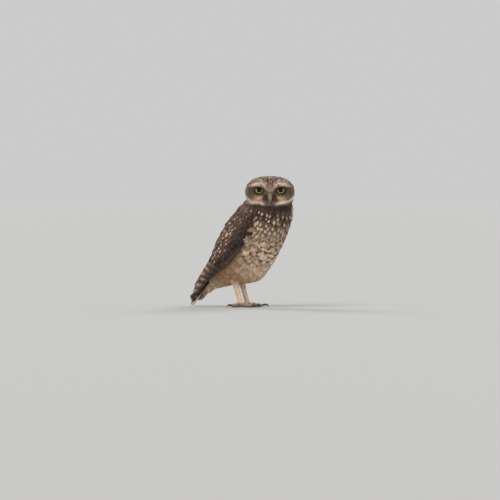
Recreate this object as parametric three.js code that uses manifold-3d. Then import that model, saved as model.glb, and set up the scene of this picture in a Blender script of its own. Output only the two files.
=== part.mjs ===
// A burrowing owl standing on level ground with its head turned to its right, at life size in millimetres.
// It faces -Y with +Z up and its right side towards -X. The ground is the plane z = 0.
import * as THREE from "three";
import { mergeVertices } from "three/addons/utils/BufferGeometryUtils.js";
import Module from "manifold-3d";

const wasm = await Module();
wasm.setup();

// Driving dimensions, in millimetres and degrees
const GAP = 0.32; // clearance between neighbouring pieces
const HEAD_TURN = 60; // how far the head looks round to the bird's right
const HEAD_FORWARD = 43.8; // centre of the head ahead of the ankles
const HEAD_HEIGHT = 172;
const HEAD_HALF_WIDTH = 37.3;
const CROWN = 24.6; // crown above the centre of the head
const CHIN = 31; // lowest feathers of the head below its centre
const FACE_DEPTH = 25.5; // face ahead of the centre of the head
const NAPE_DEPTH = 33;
const HEAD_SQUARENESS = 2.3; // 2 is an ellipsoid, more is boxier
const FACE_FLATNESS = 2.9; // the same, from the side
const EYE_RADIUS = 9;
const EYE_OUT = 16.1; // eye beside the middle of the face
const EYE_UP = 3.6; // eye above the centre of the head
const EYE_DEPTH = 14.7; // centre of the eyeball ahead of the centre of the head
const LID_HALF_WIDTH = 6.8;
const LID_DROP = 6.6; // lower lid below the centre of the eye
const LID_RISE = 5.2; // upper lid above it
const FACE_CROWDING = 0.35; // share of the head's triangles drawn towards the face
const BILL_TIP = { forward: 33.2, height: -17.2 };
const NECK_CUT = { forward: 39, height: 147, lean: 22 }; // where the neck meets the torso
const QUILL_THICK = 0.8; // a quill feather at its shaft
const EDGE_THICK = 0.5; // and at its edges
const TUCK = 1.6; // how far a feather's upper edge is pressed under the next
const ROOT_SUNK = 2.4;
const TAIL_LENGTH = 72;
const TAIL_FALL = 40; // degrees below level
const TAIL_HALF_WIDTH = 12; // where the outer feathers lie
const TAIL_DROP = 13; // of the outer feathers below the middle ones
const SHANK_LENGTH = 46;
const SHANK_LEAN = 15; // degrees from upright, heel behind the toes
const STANCE = 10; // each foot beside the middle
const FOOT_FORWARD = -0.5; // ankles ahead of the middle of the body
const TOE_RADIUS = 2.7;
const GROUND_CLEAR = 0.6; // claw tips above the ground

const X = new THREE.Vector3(1, 0, 0);
const Y = new THREE.Vector3(0, 1, 0);
const Z = new THREE.Vector3(0, 0, 1);
const rad = THREE.MathUtils.degToRad;
const lerp = THREE.MathUtils.lerp;
const smooth = THREE.MathUtils.smoothstep;

// A point of the middle plane, from how far forward and how high it is
const mid = (forward, height, side = 0) => new THREE.Vector3(side, -forward, height);

// Plumage and horn colours
const coat = (name, color, roughness = 0.9) =>
  new THREE.MeshStandardMaterial({ name, color, roughness, metalness: 0 });
const brown = coat("brown plumage", 0x5b4535);
const quill = coat("brown quills", 0x4c392c, 0.8);
const breast = coat("barred breast", 0xc3a684);
const face = coat("face plumage", 0x8a705a);
const leg = coat("leg feathers", 0xc9a078);
const horn = coat("bill horn", 0xa79a76, 0.45);
const iris = coat("eye", 0xd9c02a, 0.1);

// A closed geometry as a solid, with its faces turned out
function solid(geometry) {
  const bare = geometry.clone();
  bare.deleteAttribute("normal");
  bare.deleteAttribute("uv");
  const merged = mergeVertices(bare, 1e-4);
  const triVerts = new Uint32Array(merged.index.array);
  const build = () =>
    new wasm.Manifold(
      new wasm.Mesh({ numProp: 3, vertProperties: merged.attributes.position.array, triVerts }),
    );
  const made = build();
  if (made.volume() > 0) return made;
  for (let i = 0; i < triVerts.length; i += 3) {
    [triVerts[i + 1], triVerts[i + 2]] = [triVerts[i + 2], triVerts[i + 1]];
  }
  return build();
}

// The largest closed surface of a solid, so that no scrap or sealed hollow stays in it
const largest = (made) => made.decompose().sort((a, b) => b.volume() - a.volume())[0];

const fuse = (...pieces) => wasm.Manifold.union(pieces.flat());

function mesh(name, made, material) {
  const { numProp, vertProperties, triVerts, numVert } = largest(made).getMesh();
  const position = new Float32Array(numVert * 3);
  for (let i = 0; i < numVert; i += 1) {
    position.set(vertProperties.subarray(i * numProp, i * numProp + 3), i * 3);
  }
  const geometry = new THREE.BufferGeometry();
  geometry.setAttribute("position", new THREE.BufferAttribute(position, 3));
  geometry.setIndex(new THREE.BufferAttribute(triVerts, 1));
  const made3d = new THREE.Mesh(geometry, material);
  made3d.name = name;
  return made3d;
}

// The half space under a plane, as a big block: its top face goes through the point, square to the normal
function below(point, normal, size = 400) {
  const block = new THREE.BoxGeometry(size, size, size);
  block.translate(0, 0, -size / 2);
  block.applyQuaternion(new THREE.Quaternion().setFromUnitVectors(Z, normal));
  block.translate(point.x, point.y, point.z);
  return solid(block);
}

// A closed body whose surface is point(s, angle) for s from 0 to 1, drawn to a point at both ends
function sweep(point, centre, around, along, ease = (s) => s) {
  const geometry = new THREE.SphereGeometry(1, around, along);
  const position = geometry.getAttribute("position");
  for (let i = 0; i < position.count; i += 1) {
    const row = Math.floor(i / (around + 1));
    const angle = (2 * Math.PI * ((i % (around + 1)) % around)) / around;
    const s = ease(row / along);
    const p = row === 0 || row === along ? centre(s) : point(s, angle);
    position.setXYZ(i, p.x, p.y, p.z);
  }
  return solid(geometry);
}

// Stations crowded towards both ends, for a body with round ends
const roundEnds = (s) => (1 - Math.cos(Math.PI * s)) / 2;

// A body built on the bird's middle plane. Each station says how far forward and how high its centre is, its half
// width, and its depth to the back and to the front. surface(s, angle, lift) is a point lift above the skin: angle 0
// is the bird's left side, 90 degrees its back.
function bodyAlong(stations) {
  const spine = new THREE.CatmullRomCurve3(stations.map((k) => mid(k.forward, k.height)));
  const girth = new THREE.CatmullRomCurve3(
    stations.map((k) => new THREE.Vector3(k.width, k.back, k.front)),
  );
  const centre = (s) => spine.getPoint(s);
  const surface = (s, angle, lift = 0) => {
    const tangent = spine.getTangent(s);
    const rise = new THREE.Vector3(0, -tangent.z, tangent.y);
    const size = girth.getPoint(s);
    const across = Math.cos(angle);
    const up = Math.sin(angle);
    const depth = up > 0 ? size.y : size.z;
    const outward = new THREE.Vector3()
      .addScaledVector(X, across / size.x)
      .addScaledVector(rise, up / depth)
      .normalize();
    return centre(s)
      .addScaledVector(X, across * size.x)
      .addScaledVector(rise, up * depth)
      .addScaledVector(outward, lift);
  };
  return { centre, surface };
}

// Trunk: torso and neck as one form, from inside the head to the end of the feathers under the tail
const trunk = bodyAlong([
  { forward: 44, height: 166, width: 31, back: 30, front: 29 },
  { forward: 42, height: 149, width: 37, back: 39, front: 37 },
  { forward: 30, height: 126, width: 38, back: 40, front: 42 },
  { forward: 10, height: 100, width: 38.5, back: 42, front: 48.5 },
  { forward: -10, height: 76, width: 36.5, back: 38, front: 49.5 },
  { forward: -34, height: 52, width: 25, back: 22, front: 25 },
  { forward: -57, height: 32, width: 8, back: 5, front: 7 },
  { forward: -73, height: 20, width: 2, back: 1.5, front: 1.5 },
]);
const TRUNK_AROUND = 28;
const TRUNK_ALONG = 21;
const trunkSolid = (lift) =>
  sweep((s, angle) => trunk.surface(s, angle, lift), trunk.centre, TRUNK_AROUND, TRUNK_ALONG);
const trunkBody = trunkSolid(0);
const trunkGrown = trunkSolid(GAP);

// Head: its own frame has x to the bird's left, -y out of the face and z up
const headPlace = new THREE.Matrix4()
  .makeRotationZ(-rad(HEAD_TURN))
  .setPosition(mid(HEAD_FORWARD, HEAD_HEIGHT));
const inHead = (made) => made.transform(headPlace.elements);

const bump = (distance, reach) => Math.exp(-(distance * distance) / (reach * reach));

// How far the face stands out of the plain egg of the head, at a place x beside and z above its centre
function faceRelief(x, z) {
  const side = Math.abs(x);
  const fromEye = Math.hypot(side - EYE_OUT, z - EYE_UP);
  const bowl = -2.8 * bump(fromEye, 10.5);
  const rim = 1.6 * bump(fromEye - 17.5, 3) * smooth(side, 4, 16);
  const browHeight = lerp(2.5, 10.5, smooth(side, 1, 20));
  const brow = 3.0 * bump(z - browHeight - 2.2, 3.4) * (1 - smooth(side, 21, 31));
  const bridge = 2.6 * bump(side, 5) * bump(z + 2, 9);
  const bristles = 1.6 * bump(side - 6.5, 4) * bump(z + 9, 5);
  return bowl + rim + brow + bridge + bristles;
}

function headRadius(direction, lift) {
  const depth = direction.y < 0 ? FACE_DEPTH : NAPE_DEPTH;
  const flatness = direction.y < 0 ? FACE_FLATNESS : HEAD_SQUARENESS;
  const tall = direction.z > 0 ? CROWN : CHIN;
  const outline =
    ((Math.abs(direction.x) / HEAD_HALF_WIDTH) ** HEAD_SQUARENESS +
      (Math.abs(direction.z) / tall) ** HEAD_SQUARENESS) **
    (1 / HEAD_SQUARENESS);
  const plain = (outline ** flatness + (Math.abs(direction.y) / depth) ** flatness) ** (-1 / flatness);
  const forward = smooth(-direction.y, 0.25, 0.75);
  return plain + forward * faceRelief(plain * direction.x, plain * direction.z) + lift;
}

// Its triangles crowd towards the face, where the form is finest
function headEgg(detail, lift) {
  const geometry = new THREE.IcosahedronGeometry(1, detail);
  const position = geometry.getAttribute("position");
  const direction = new THREE.Vector3();
  for (let i = 0; i < position.count; i += 1) {
    direction.fromBufferAttribute(position, i).addScaledVector(Y, -FACE_CROWDING).normalize();
    direction.multiplyScalar(headRadius(direction, lift));
    position.setXYZ(i, direction.x, direction.y, direction.z);
  }
  return solid(geometry);
}

const eyeCentre = (side) => new THREE.Vector3(side * EYE_OUT, -EYE_DEPTH, EYE_UP);

function eyeball(side, lift, around, along) {
  const ball = new THREE.SphereGeometry(EYE_RADIUS + lift, around, along);
  ball.rotateX(Math.PI / 2);
  const { x, y, z } = eyeCentre(side);
  ball.translate(x, y, z);
  return solid(ball);
}

// The round opening in the plumage in front of an eye
function socket(side) {
  const hole = new THREE.CylinderGeometry(LID_HALF_WIDTH - 0.5, LID_HALF_WIDTH - 0.5, 20, 18);
  const { x, y, z } = eyeCentre(side);
  hole.scale(1, 1, (LID_RISE + LID_DROP - 0.8) / (2 * LID_HALF_WIDTH - 1));
  hole.translate(x, y - 10, z + (LID_RISE - LID_DROP) / 2);
  return solid(hole);
}

// Lids: one rounded rim about the opening of the eye, flatter above, where the brow presses on it
function lids(side) {
  const thickness = 1;
  const ring = new THREE.TorusGeometry(2, thickness, 5, 18);
  const position = ring.getAttribute("position");
  const centre = eyeCentre(side);
  for (let i = 0; i < position.count; i += 1) {
    const turn = Math.atan2(position.getY(i), position.getX(i));
    const outwards = Math.hypot(position.getX(i), position.getY(i)) - 2;
    const across = Math.cos(turn);
    const up = Math.sin(turn);
    const frown = 0.16 * across * LID_HALF_WIDTH; // the inner corner is the lower one
    const x = across * (LID_HALF_WIDTH + outwards);
    const z = up * ((up > 0 ? LID_RISE : LID_DROP) + outwards) + (up > 0 ? frown * up : 0);
    const out = Math.sqrt((EYE_RADIUS + 0.5) ** 2 - Math.min(x * x + z * z, 56));
    position.setXYZ(i, centre.x + side * x, centre.y - out - position.getZ(i), centre.z + z);
  }
  return solid(ring);
}

// Bill: a hooked upper half with nostrils in its swollen root, and a small lower half tucked under it
function billHalf(path, widths, heights, lift, around, along) {
  const curve = new THREE.CatmullRomCurve3(path.map(([forward, height]) => mid(forward, height)));
  const size = new THREE.CatmullRomCurve3(
    widths.map((w, i) => new THREE.Vector3(w + lift, heights[i] + lift, 0)),
  );
  const point = (s, angle) => {
    const tangent = curve.getTangent(s);
    const rise = new THREE.Vector3(0, tangent.z, -tangent.y);
    const { x, y } = size.getPoint(s);
    return curve
      .getPoint(s)
      .addScaledVector(X, x * Math.cos(angle))
      .addScaledVector(rise, y * Math.sin(angle));
  };
  return sweep(point, (s) => curve.getPoint(s), around, along);
}

const upperPath = [[18, -3], [26, -3.6], [31.6, -7.4], [33.6, -12.4], [BILL_TIP.forward, BILL_TIP.height]];
const upperBill = (lift) => billHalf(upperPath, [5, 4.9, 4.3, 2.7, 0.3], [5.2, 4.8, 4, 2.3, 0.3], lift, 12, 12);
const lowerPath = [[18, -11], [26, -12], [29.6, -14.6]];
const lowerBill = (lift) => billHalf(lowerPath, [4, 3.6, 0.7], [2.6, 2.2, 0.5], lift, 12, 8);

function nostril(side) {
  const hole = new THREE.CylinderGeometry(0.85, 0.6, 5, 10);
  hole.rotateZ(Math.PI / 2 - side * 0.35);
  hole.translate(side * 4.6, -28.2, -2.6);
  return solid(hole);
}

const HEAD_DETAIL = 9;
const headGrown = headEgg(HEAD_DETAIL, GAP);
const sides = [
  ["right", -1],
  ["left", 1],
];
let headMade = headEgg(HEAD_DETAIL, 0);
sides.forEach(([, side]) => {
  headMade = headMade.subtract(socket(side)).add(lids(side)).subtract(eyeball(side, GAP, 18, 10));
});
const upperMade = upperBill(0).subtract(headGrown).subtract(nostril(1)).subtract(nostril(-1));
const lowerMade = lowerBill(0).subtract(headGrown).subtract(upperBill(GAP));

// What the trunk leaves free for the head and the bill
const headRoom = fuse(headGrown, upperBill(GAP), lowerBill(GAP));

// Torso and neck, parted by a thin slanting cut
const neckNormal = new THREE.Vector3(0, -Math.sin(rad(NECK_CUT.lean)), Math.cos(rad(NECK_CUT.lean)));
const cutPoint = mid(NECK_CUT.forward, NECK_CUT.height);
const torsoMade = trunkBody.intersect(below(cutPoint, neckNormal)).subtract(inHead(headRoom));
const neckMade = trunkBody
  .subtract(below(cutPoint.clone().addScaledVector(neckNormal, GAP), neckNormal))
  .subtract(inHead(headRoom));

// A feather's vane: a thin blade with a raised shaft. place(t, across) gives a point for t from root to tip and across
// from -1 to 1, and the way up there. Both faces are split into triangles alike, so that they never cross.
function vane(place, steps) {
  const rows = [];
  for (let i = 0; i <= steps; i += 1) {
    const t = i / steps;
    const corner = (across, face) => {
      const { point, up } = place(t, across);
      const half = (across === 0 ? QUILL_THICK * lerp(1, 0.75, t) : EDGE_THICK) / 2;
      return point.clone().addScaledVector(up, face * half);
    };
    rows.push([corner(-1, 1), corner(0, 1), corner(1, 1), corner(-1, -1), corner(0, -1), corner(1, -1)]);
  }
  const at = (row, column, face) => row * 6 + column + (face > 0 ? 0 : 3);
  const faces = [];
  const quad = (a, b, c, d, turned) => faces.push(...(turned ? [a, c, b, a, d, c] : [a, b, c, a, c, d]));
  for (let row = 0; row < steps; row += 1) {
    [1, -1].forEach((face) => {
      quad(at(row, 0, face), at(row, 1, face), at(row + 1, 1, face), at(row + 1, 0, face), face < 0);
      quad(at(row, 2, face), at(row, 1, face), at(row + 1, 1, face), at(row + 1, 2, face), face > 0);
    });
    quad(at(row, 0, 1), at(row + 1, 0, 1), at(row + 1, 0, -1), at(row, 0, -1), false);
    quad(at(row, 2, 1), at(row + 1, 2, 1), at(row + 1, 2, -1), at(row, 2, -1), true);
  }
  [0, steps].forEach((row) => {
    quad(at(row, 0, 1), at(row, 1, 1), at(row, 1, -1), at(row, 0, -1), row === 0);
    quad(at(row, 1, 1), at(row, 2, 1), at(row, 2, -1), at(row, 1, -1), row === 0);
  });
  const geometry = new THREE.BufferGeometry().setFromPoints(rows.flat());
  geometry.setIndex(faces);
  return solid(geometry);
}

// The outline of a vane: half width along it, full soon after the root and round at the tip
const vaneWidth = (t, tip = 0.35) =>
  lerp(0.45, 1, smooth(t, 0, 0.3)) * Math.sqrt(1 - (1 - tip * tip) * smooth(t, 0.62, 1) ** 2);

// Wing: feathers lie on a guide surface that wraps the trunk and runs on past it to the wing tip. The guide is the
// left wing's, and the right wing is its mirror image.
const guide = bodyAlong([
  { forward: 44, height: 166, width: 32, back: 31, front: 30 },
  { forward: 42, height: 149, width: 38, back: 40, front: 38 },
  { forward: 30, height: 126, width: 39.2, back: 41, front: 43 },
  { forward: 10, height: 100, width: 39.8, back: 43, front: 48 },
  { forward: -10, height: 76, width: 38, back: 39.5, front: 48 },
  { forward: -35, height: 55, width: 29, back: 27, front: 30 },
  { forward: -58, height: 36, width: 20, back: 19, front: 17 },
  { forward: -80, height: 7, width: 16, back: 15, front: 8 },
]);

// One quill feather from (s, angle) to (s, angle) on the guide, leaning like a roof tile: its lower edge rides up over
// the feather below by the tilt, its upper edge is tucked under the next and its root is sunk in the flesh
function quillOn({ from, to, half, lift, rise, tilt, steps }) {
  const place = (t, across) => {
    const s = lerp(from[0], to[0], t);
    const angle = rad(lerp(from[1], to[1], t));
    const radius = guide.surface(s, angle).distanceTo(guide.centre(s));
    const turn = angle + (across * half * vaneWidth(t)) / radius;
    const lean = across > 0 ? tilt + TUCK : tilt;
    const height = lift + rise * smooth(t, 0, 0.5) - ROOT_SUNK * (1 - smooth(t, 0, 0.3)) - lean * across * vaneWidth(t);
    const point = guide.surface(s, turn, height);
    return { point, up: guide.surface(s, turn, height + 1).sub(point) };
  };
  return vane(place, steps);
}

// One tier of a folded wing: count feathers side by side from the wing's lower edge to its upper edge
function tier({ count, root, tip, rootAngles, tipAngles, ...shape }) {
  return Array.from({ length: count }, (_, k) => {
    const u = k / (count - 1);
    return quillOn({
      from: [lerp(...root, u), lerp(...rootAngles, u)],
      to: [lerp(...tip, u), lerp(...tipAngles, u)],
      ...shape,
    });
  });
}

// The flesh and small coverts of the wing, as a flat lens that dives into the trunk's outline all round
function wingCore() {
  const lens = new THREE.SphereGeometry(1, 18, 10);
  const position = lens.getAttribute("position");
  const full = (v) => Math.sign(v) * Math.abs(v) ** 0.75;
  for (let i = 0; i < position.count; i += 1) {
    const [x, y, z] = [position.getX(i), position.getY(i), position.getZ(i)];
    const down = (1 - full(y)) / 2;
    const angle = rad(lerp(24, 30, down) + lerp(49, 34, down) * full(x));
    const lift = 3.4 * Math.sign(z) * Math.abs(z) ** 0.5 - 1.5;
    const p = guide.surface(lerp(0.16, 0.76, down), angle, lift);
    position.setXYZ(i, p.x, p.y, p.z);
  }
  return solid(lens);
}

function leftWing() {
  const primaries = tier({
    count: 6, root: [0.623, 0.657], tip: [0.94, 0.957], rootAngles: [0, 20], tipAngles: [6, 50],
    half: 5.4, lift: -0.5, rise: 0.8, tilt: 0.7, steps: 4,
  });
  const secondaries = tier({
    count: 6, root: [0.469, 0.537], tip: [0.794, 0.931], rootAngles: [-8, 62], tipAngles: [4, 66],
    half: 8.2, lift: 0.4, rise: 1.6, tilt: 1, steps: 4,
  });
  const greaterCoverts = tier({
    count: 5, root: [0.349, 0.4], tip: [0.606, 0.726], rootAngles: [-6, 64], tipAngles: [-4, 68],
    half: 10.6, lift: 0.8, rise: 2.7, tilt: 1.2, steps: 3,
  });
  const medianCoverts = tier({
    count: 5, root: [0.229, 0.263], tip: [0.451, 0.52], rootAngles: [-6, 62], tipAngles: [-6, 68],
    half: 10.8, lift: 0.8, rise: 3.8, tilt: 1.2, steps: 3,
  });
  return fuse(wingCore(), primaries, secondaries, greaterCoverts, medianCoverts);
}

// Tail: twelve feathers folded like a roof, the middle pair on top, on a core of rump feathers
const tailRoot = mid(-38, 60.5);
const tailAlong = new THREE.Vector3(0, Math.cos(rad(TAIL_FALL)), -Math.sin(rad(TAIL_FALL)));
const tailUp = new THREE.Vector3(0, Math.sin(rad(TAIL_FALL)), Math.cos(rad(TAIL_FALL)));
const tailPoint = (along, across, up) =>
  tailRoot
    .clone()
    .addScaledVector(tailAlong, along)
    .addScaledVector(X, across)
    .addScaledVector(tailUp, up);

// The roof's fall beside the ridge, steeper towards the tip of the tail
const roof = (t, out) => lerp(0.45, 1, t) * TAIL_DROP * (Math.abs(out) / TAIL_HALF_WIDTH) ** 1.6;

function tailFeather(k, side) {
  const reach = TAIL_LENGTH * (1 - 0.001 * k * k);
  const place = (t, across) => {
    const out = side * lerp(1.5 + 1.1 * k, 2.4 + 1.85 * k, t) + across * 5.2 * vaneWidth(t);
    const slope = roof(t, out + 0.5) - roof(t, out - 0.5);
    const up = tailUp.clone().addScaledVector(X, slope).normalize();
    return { point: tailPoint(reach * t, out, 0.35 * across * side - 0.3 * k - roof(t, out)), up };
  };
  return vane(place, 4);
}

// The rump feathers under and over the roots of the tail, or with a lift the room that the wings leave for the tail
function tailCore(length, width, lift) {
  const full = (s) => Math.sqrt(Math.max(0, 1 - (s * 1.9 - 0.9) ** 2));
  const place = (s, across, height) => tailPoint(lerp(-10, length, s), across, height - roof(s, across) - 1.4);
  const point = (s, angle) => {
    const across = (width * full(s) + lift) * Math.cos(angle);
    return place(s, across, (2.6 * full(s) + lift) * Math.sin(angle));
  };
  return sweep(point, (s) => place(s, 0, 0), 14, 10);
}

const tailFeathers = [0, 1, 2, 3, 4, 5].flatMap((k) => [tailFeather(k, 1), tailFeather(k, -1)]);
const tailMade = fuse(tailCore(46, 12, 0), tailFeathers).subtract(trunkGrown);

// Wings, clear of the trunk and of the tail that they fold over
const tailRoom = sweep(
  (s, angle) => tailPoint(lerp(-12, TAIL_LENGTH + 4, s), 17 * Math.cos(angle),
    1.4 - roof(s, 17 * Math.cos(angle)) + (Math.sin(angle) > 0 ? 0 : 12 * Math.sin(angle))),
  (s) => tailPoint(lerp(-12, TAIL_LENGTH + 4, s), 0, 0),
  16, 8,
);
const wingRaw = leftWing().subtract(trunkGrown).subtract(tailRoom);
const wings = { left: wingRaw, right: wingRaw.mirror([1, 0, 0]) };

// Leg: a feathered thigh, a slim feathered shank and a foot with two toes ahead and two behind, on the left side
const heel = mid(
  FOOT_FORWARD - SHANK_LENGTH * Math.sin(rad(SHANK_LEAN)),
  SHANK_LENGTH * Math.cos(rad(SHANK_LEAN)) + 4,
  STANCE,
);
const ankle = mid(FOOT_FORWARD, 4.5, STANCE);

function limb(points, radii, around, along, ease) {
  const curve = new THREE.CatmullRomCurve3(points);
  const size = new THREE.CatmullRomCurve3(radii.map(([w, h]) => new THREE.Vector3(w, h, 0)));
  const point = (s, angle) => {
    const tangent = curve.getTangent(s);
    const side = new THREE.Vector3().crossVectors(tangent, Math.abs(tangent.z) > 0.8 ? Y : Z).normalize();
    const rise = new THREE.Vector3().crossVectors(side, tangent);
    const { x, y } = size.getPoint(s);
    return curve
      .getPoint(s)
      .addScaledVector(side, x * Math.cos(angle))
      .addScaledVector(rise, y * Math.sin(angle));
  };
  return sweep(point, (s) => curve.getPoint(s), around, along, ease);
}

const onLeg = (forward, height, side = 0) => mid(FOOT_FORWARD + forward, height, STANCE + side);
const thighLine = [onLeg(6, 74, 4), onLeg(-3, 56, 3), onLeg(-8.5, 42, 1), onLeg(-8.6, 33)];
const thigh = limb(thighLine, [[13, 15], [13, 15], [9.6, 10.4], [6, 6.2]], 16, 10, roundEnds);
const shankLine = [heel, onLeg(-8.8, 36), onLeg(-4.5, 20), onLeg(-0.8, 7), onLeg(0.2, 3)];
const shank = limb(shankLine, [[5.8, 6], [5.4, 5.6], [4, 4.2], [4.6, 4.8], [3.6, 4]], 12, 9);

const shankAxis = mid(-Math.sin(rad(SHANK_LEAN)), Math.cos(rad(SHANK_LEAN))).normalize();
const thighCut = onLeg(-8.6, 35.5);
const footCut = onLeg(0, 6);

// Toes by name: heading in degrees from straight ahead, positive outwards, then length and claw length
const TOES = [
  { heading: -15, length: 21, claw: 9 },
  { heading: 14, length: 24, claw: 10 },
  { heading: 112, length: 18, claw: 9 },
  { heading: 196, length: 12, claw: 9 },
];

function toe({ heading, length, claw }) {
  const way = mid(Math.cos(rad(heading)), 0, Math.sin(rad(heading)));
  const at = (out, height) => ankle.clone().addScaledVector(way, out).setZ(height);
  const flesh = limb(
    [at(-2, 4.2), at(length * 0.35, 3.4), at(length * 0.7, 2.7), at(length, 2.5)],
    [[3.4, 3.6], [TOE_RADIUS, 2.9], [TOE_RADIUS, 2.7], [2.2, 2.2]],
    8, 5, roundEnds,
  );
  const nail = limb(
    [at(length - 2, 2.6), at(length + claw * 0.4, 3.7), at(length + claw * 0.8, 2.7), at(length + claw, GROUND_CLEAR)],
    [[1.5, 1.7], [1.3, 1.5], [0.8, 0.9], [0.25, 0.25]],
    6, 4,
  );
  return [flesh, nail];
}

const pad = limb([onLeg(-4, 4), onLeg(0, 4.2), onLeg(4, 3.6)], [[3, 3], [4.6, 4.2], [3, 3]], 10, 6, roundEnds);
const footMade = fuse(pad, shank, TOES.map(toe).flat())
  .intersect(below(footCut, Z))
  .subtract(below(new THREE.Vector3(), Z));
const shankMade = shank
  .intersect(below(thighCut, shankAxis))
  .subtract(below(footCut.clone().addScaledVector(Z, GAP), Z))
  .subtract(trunkGrown);
const thighMade = thigh
  .subtract(below(thighCut.clone().addScaledVector(shankAxis, GAP), shankAxis))
  .subtract(trunkGrown);

// Assembly, then the origin is moved to the middle of the base of the whole
const owl = new THREE.Group();
owl.add(mesh("torso", torsoMade, breast));
owl.add(mesh("neck", neckMade, brown));
owl.add(mesh("head", inHead(headMade), face));
owl.add(mesh("bill_upper", inHead(upperMade), horn));
owl.add(mesh("bill_lower", inHead(lowerMade), horn));
owl.add(mesh("tail", tailMade, quill));
sides.forEach(([name, side]) => {
  const mirrored = (made) => (side > 0 ? made : made.mirror([1, 0, 0]));
  owl.add(mesh(`eye_${name}`, inHead(eyeball(side, 0, 18, 10)), iris));
  owl.add(mesh(`wing_${name}`, wings[name], quill));
  owl.add(mesh(`thigh_${name}`, mirrored(thighMade), leg));
  owl.add(mesh(`shank_${name}`, mirrored(shankMade), leg));
  owl.add(mesh(`foot_${name}`, mirrored(footMade), horn));
});

const middle = new THREE.Box3().setFromObject(owl).getCenter(new THREE.Vector3());
owl.children.forEach((piece) => piece.geometry.translate(-middle.x, -middle.y, 0));

export default owl;
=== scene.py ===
"""A burrowing owl at life size, its head turned to its right: flesh, feathers, bill, eyes and feet."""
import math

import bpy
import numpy as np
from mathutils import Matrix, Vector
from mathutils.bvhtree import BVHTree


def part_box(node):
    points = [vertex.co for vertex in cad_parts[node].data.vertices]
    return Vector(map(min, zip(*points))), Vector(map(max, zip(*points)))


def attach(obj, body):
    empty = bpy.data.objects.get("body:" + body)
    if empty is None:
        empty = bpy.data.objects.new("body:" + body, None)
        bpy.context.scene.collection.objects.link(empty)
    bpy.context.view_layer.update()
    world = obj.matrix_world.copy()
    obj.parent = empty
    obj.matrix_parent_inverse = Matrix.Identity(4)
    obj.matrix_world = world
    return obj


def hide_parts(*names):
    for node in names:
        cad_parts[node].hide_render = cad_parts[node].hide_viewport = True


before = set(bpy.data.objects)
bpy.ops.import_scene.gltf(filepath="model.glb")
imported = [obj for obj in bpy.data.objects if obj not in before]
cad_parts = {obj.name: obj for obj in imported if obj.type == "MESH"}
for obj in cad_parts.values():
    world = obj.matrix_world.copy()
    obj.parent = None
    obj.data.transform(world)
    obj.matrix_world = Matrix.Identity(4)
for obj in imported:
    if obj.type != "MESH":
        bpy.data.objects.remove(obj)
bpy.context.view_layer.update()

# Skin
# Trunk, neck, head, folded arms and legs of the living bird are one skin with no seam under its feathers.
# It is drawn from the solids' own stations, lies a coat's depth inside them, and is joined on a fine grid.

# Sizes are millimetres in the bird's own frame: x to its left, y to its back, z up from the ground.
# The two packed eyes tell where that frame lies; they sit level in a head that looks round to the right.
EYE_OUT, EYE_DEPTH, EYE_UP = 16.1, 14.7, 3.6
HEAD_CENTRE = np.array([0, -43.8, 172.0])
COAT_DEPTH, FACE_COAT_DEPTH, LEG_COAT_DEPTH = 2.2, 1.3, 1.0
SKIN_VOXEL = 1.15
ACROSS = np.array([1.0, 0, 0])


def node_centre(node):
    low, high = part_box(node)
    return np.array((low + high) / 2) * 1000


def unit(vectors):
    return vectors / np.maximum(np.linalg.norm(vectors, axis=-1, keepdims=True), 1e-9)


def ease(value, low, high):
    """0 below low, 1 above high and a smooth step between them."""
    t = np.clip((np.asarray(value, float) - low) / (high - low), 0, 1)
    return t * t * (3 - 2 * t)


def blend(a, b, t):
    return a + (b - a) * t


def bump(distance, reach):
    return np.exp(-((distance / reach) ** 2))


head_side = unit(node_centre("eye_left") - node_centre("eye_right"))
head_up = np.array([0, 0, 1.0])
head_back = np.cross(head_up, head_side)
head_axes = np.array([head_side, head_back, head_up])
between_eyes = (node_centre("eye_left") + node_centre("eye_right")) / 2
bird_origin = between_eyes + head_back * EYE_DEPTH - head_up * EYE_UP - HEAD_CENTRE


def in_head(points):
    """Places of the bird, seen in the head's own frame: x to its left, -y out of its face, z up."""
    return (points - HEAD_CENTRE) @ head_axes.T


def from_head(points):
    return points @ head_axes + HEAD_CENTRE


def curve(points, t):
    """A smooth curve through the points, for t from 0 to 1, with its speed eased by their distances."""
    points = np.asarray(points, float)
    last = len(points) - 1
    padded = np.vstack([2 * points[0] - points[1], points, 2 * points[-1] - points[-2]])
    place = np.clip(np.atleast_1d(t), 0, 1) * last
    first = np.minimum(place.astype(int), last - 1)
    w = (place - first)[:, None]
    p0, p1, p2, p3 = (padded[first + k] for k in range(4))
    gaps = [np.sqrt(np.linalg.norm(b - a, axis=1, keepdims=True)) for a, b in ((p0, p1), (p1, p2), (p2, p3))]
    d0, d1, d2 = (np.maximum(gap, 1e-4) for gap in gaps)
    leave = ((p1 - p0) / d0 - (p2 - p0) / (d0 + d1) + (p2 - p1) / d1) * d1
    reach = ((p2 - p1) / d1 - (p3 - p1) / (d1 + d2) + (p3 - p2) / d2) * d1
    bend = 3 * (p2 - p1) - 2 * leave - reach
    return p1 + leave * w + bend * w**2 + (2 * (p1 - p2) + leave + reach) * w**3


def heading(line, t, step=1e-3):
    """The way a line of points runs at t."""
    return unit(line(np.minimum(t + step, 1)) - line(np.maximum(t - step, 0)))


def over(ways):
    """Square to ways in the bird's middle plane, on the side of its back."""
    return np.column_stack([np.zeros(len(ways)), -ways[:, 2], ways[:, 1]])


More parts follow.
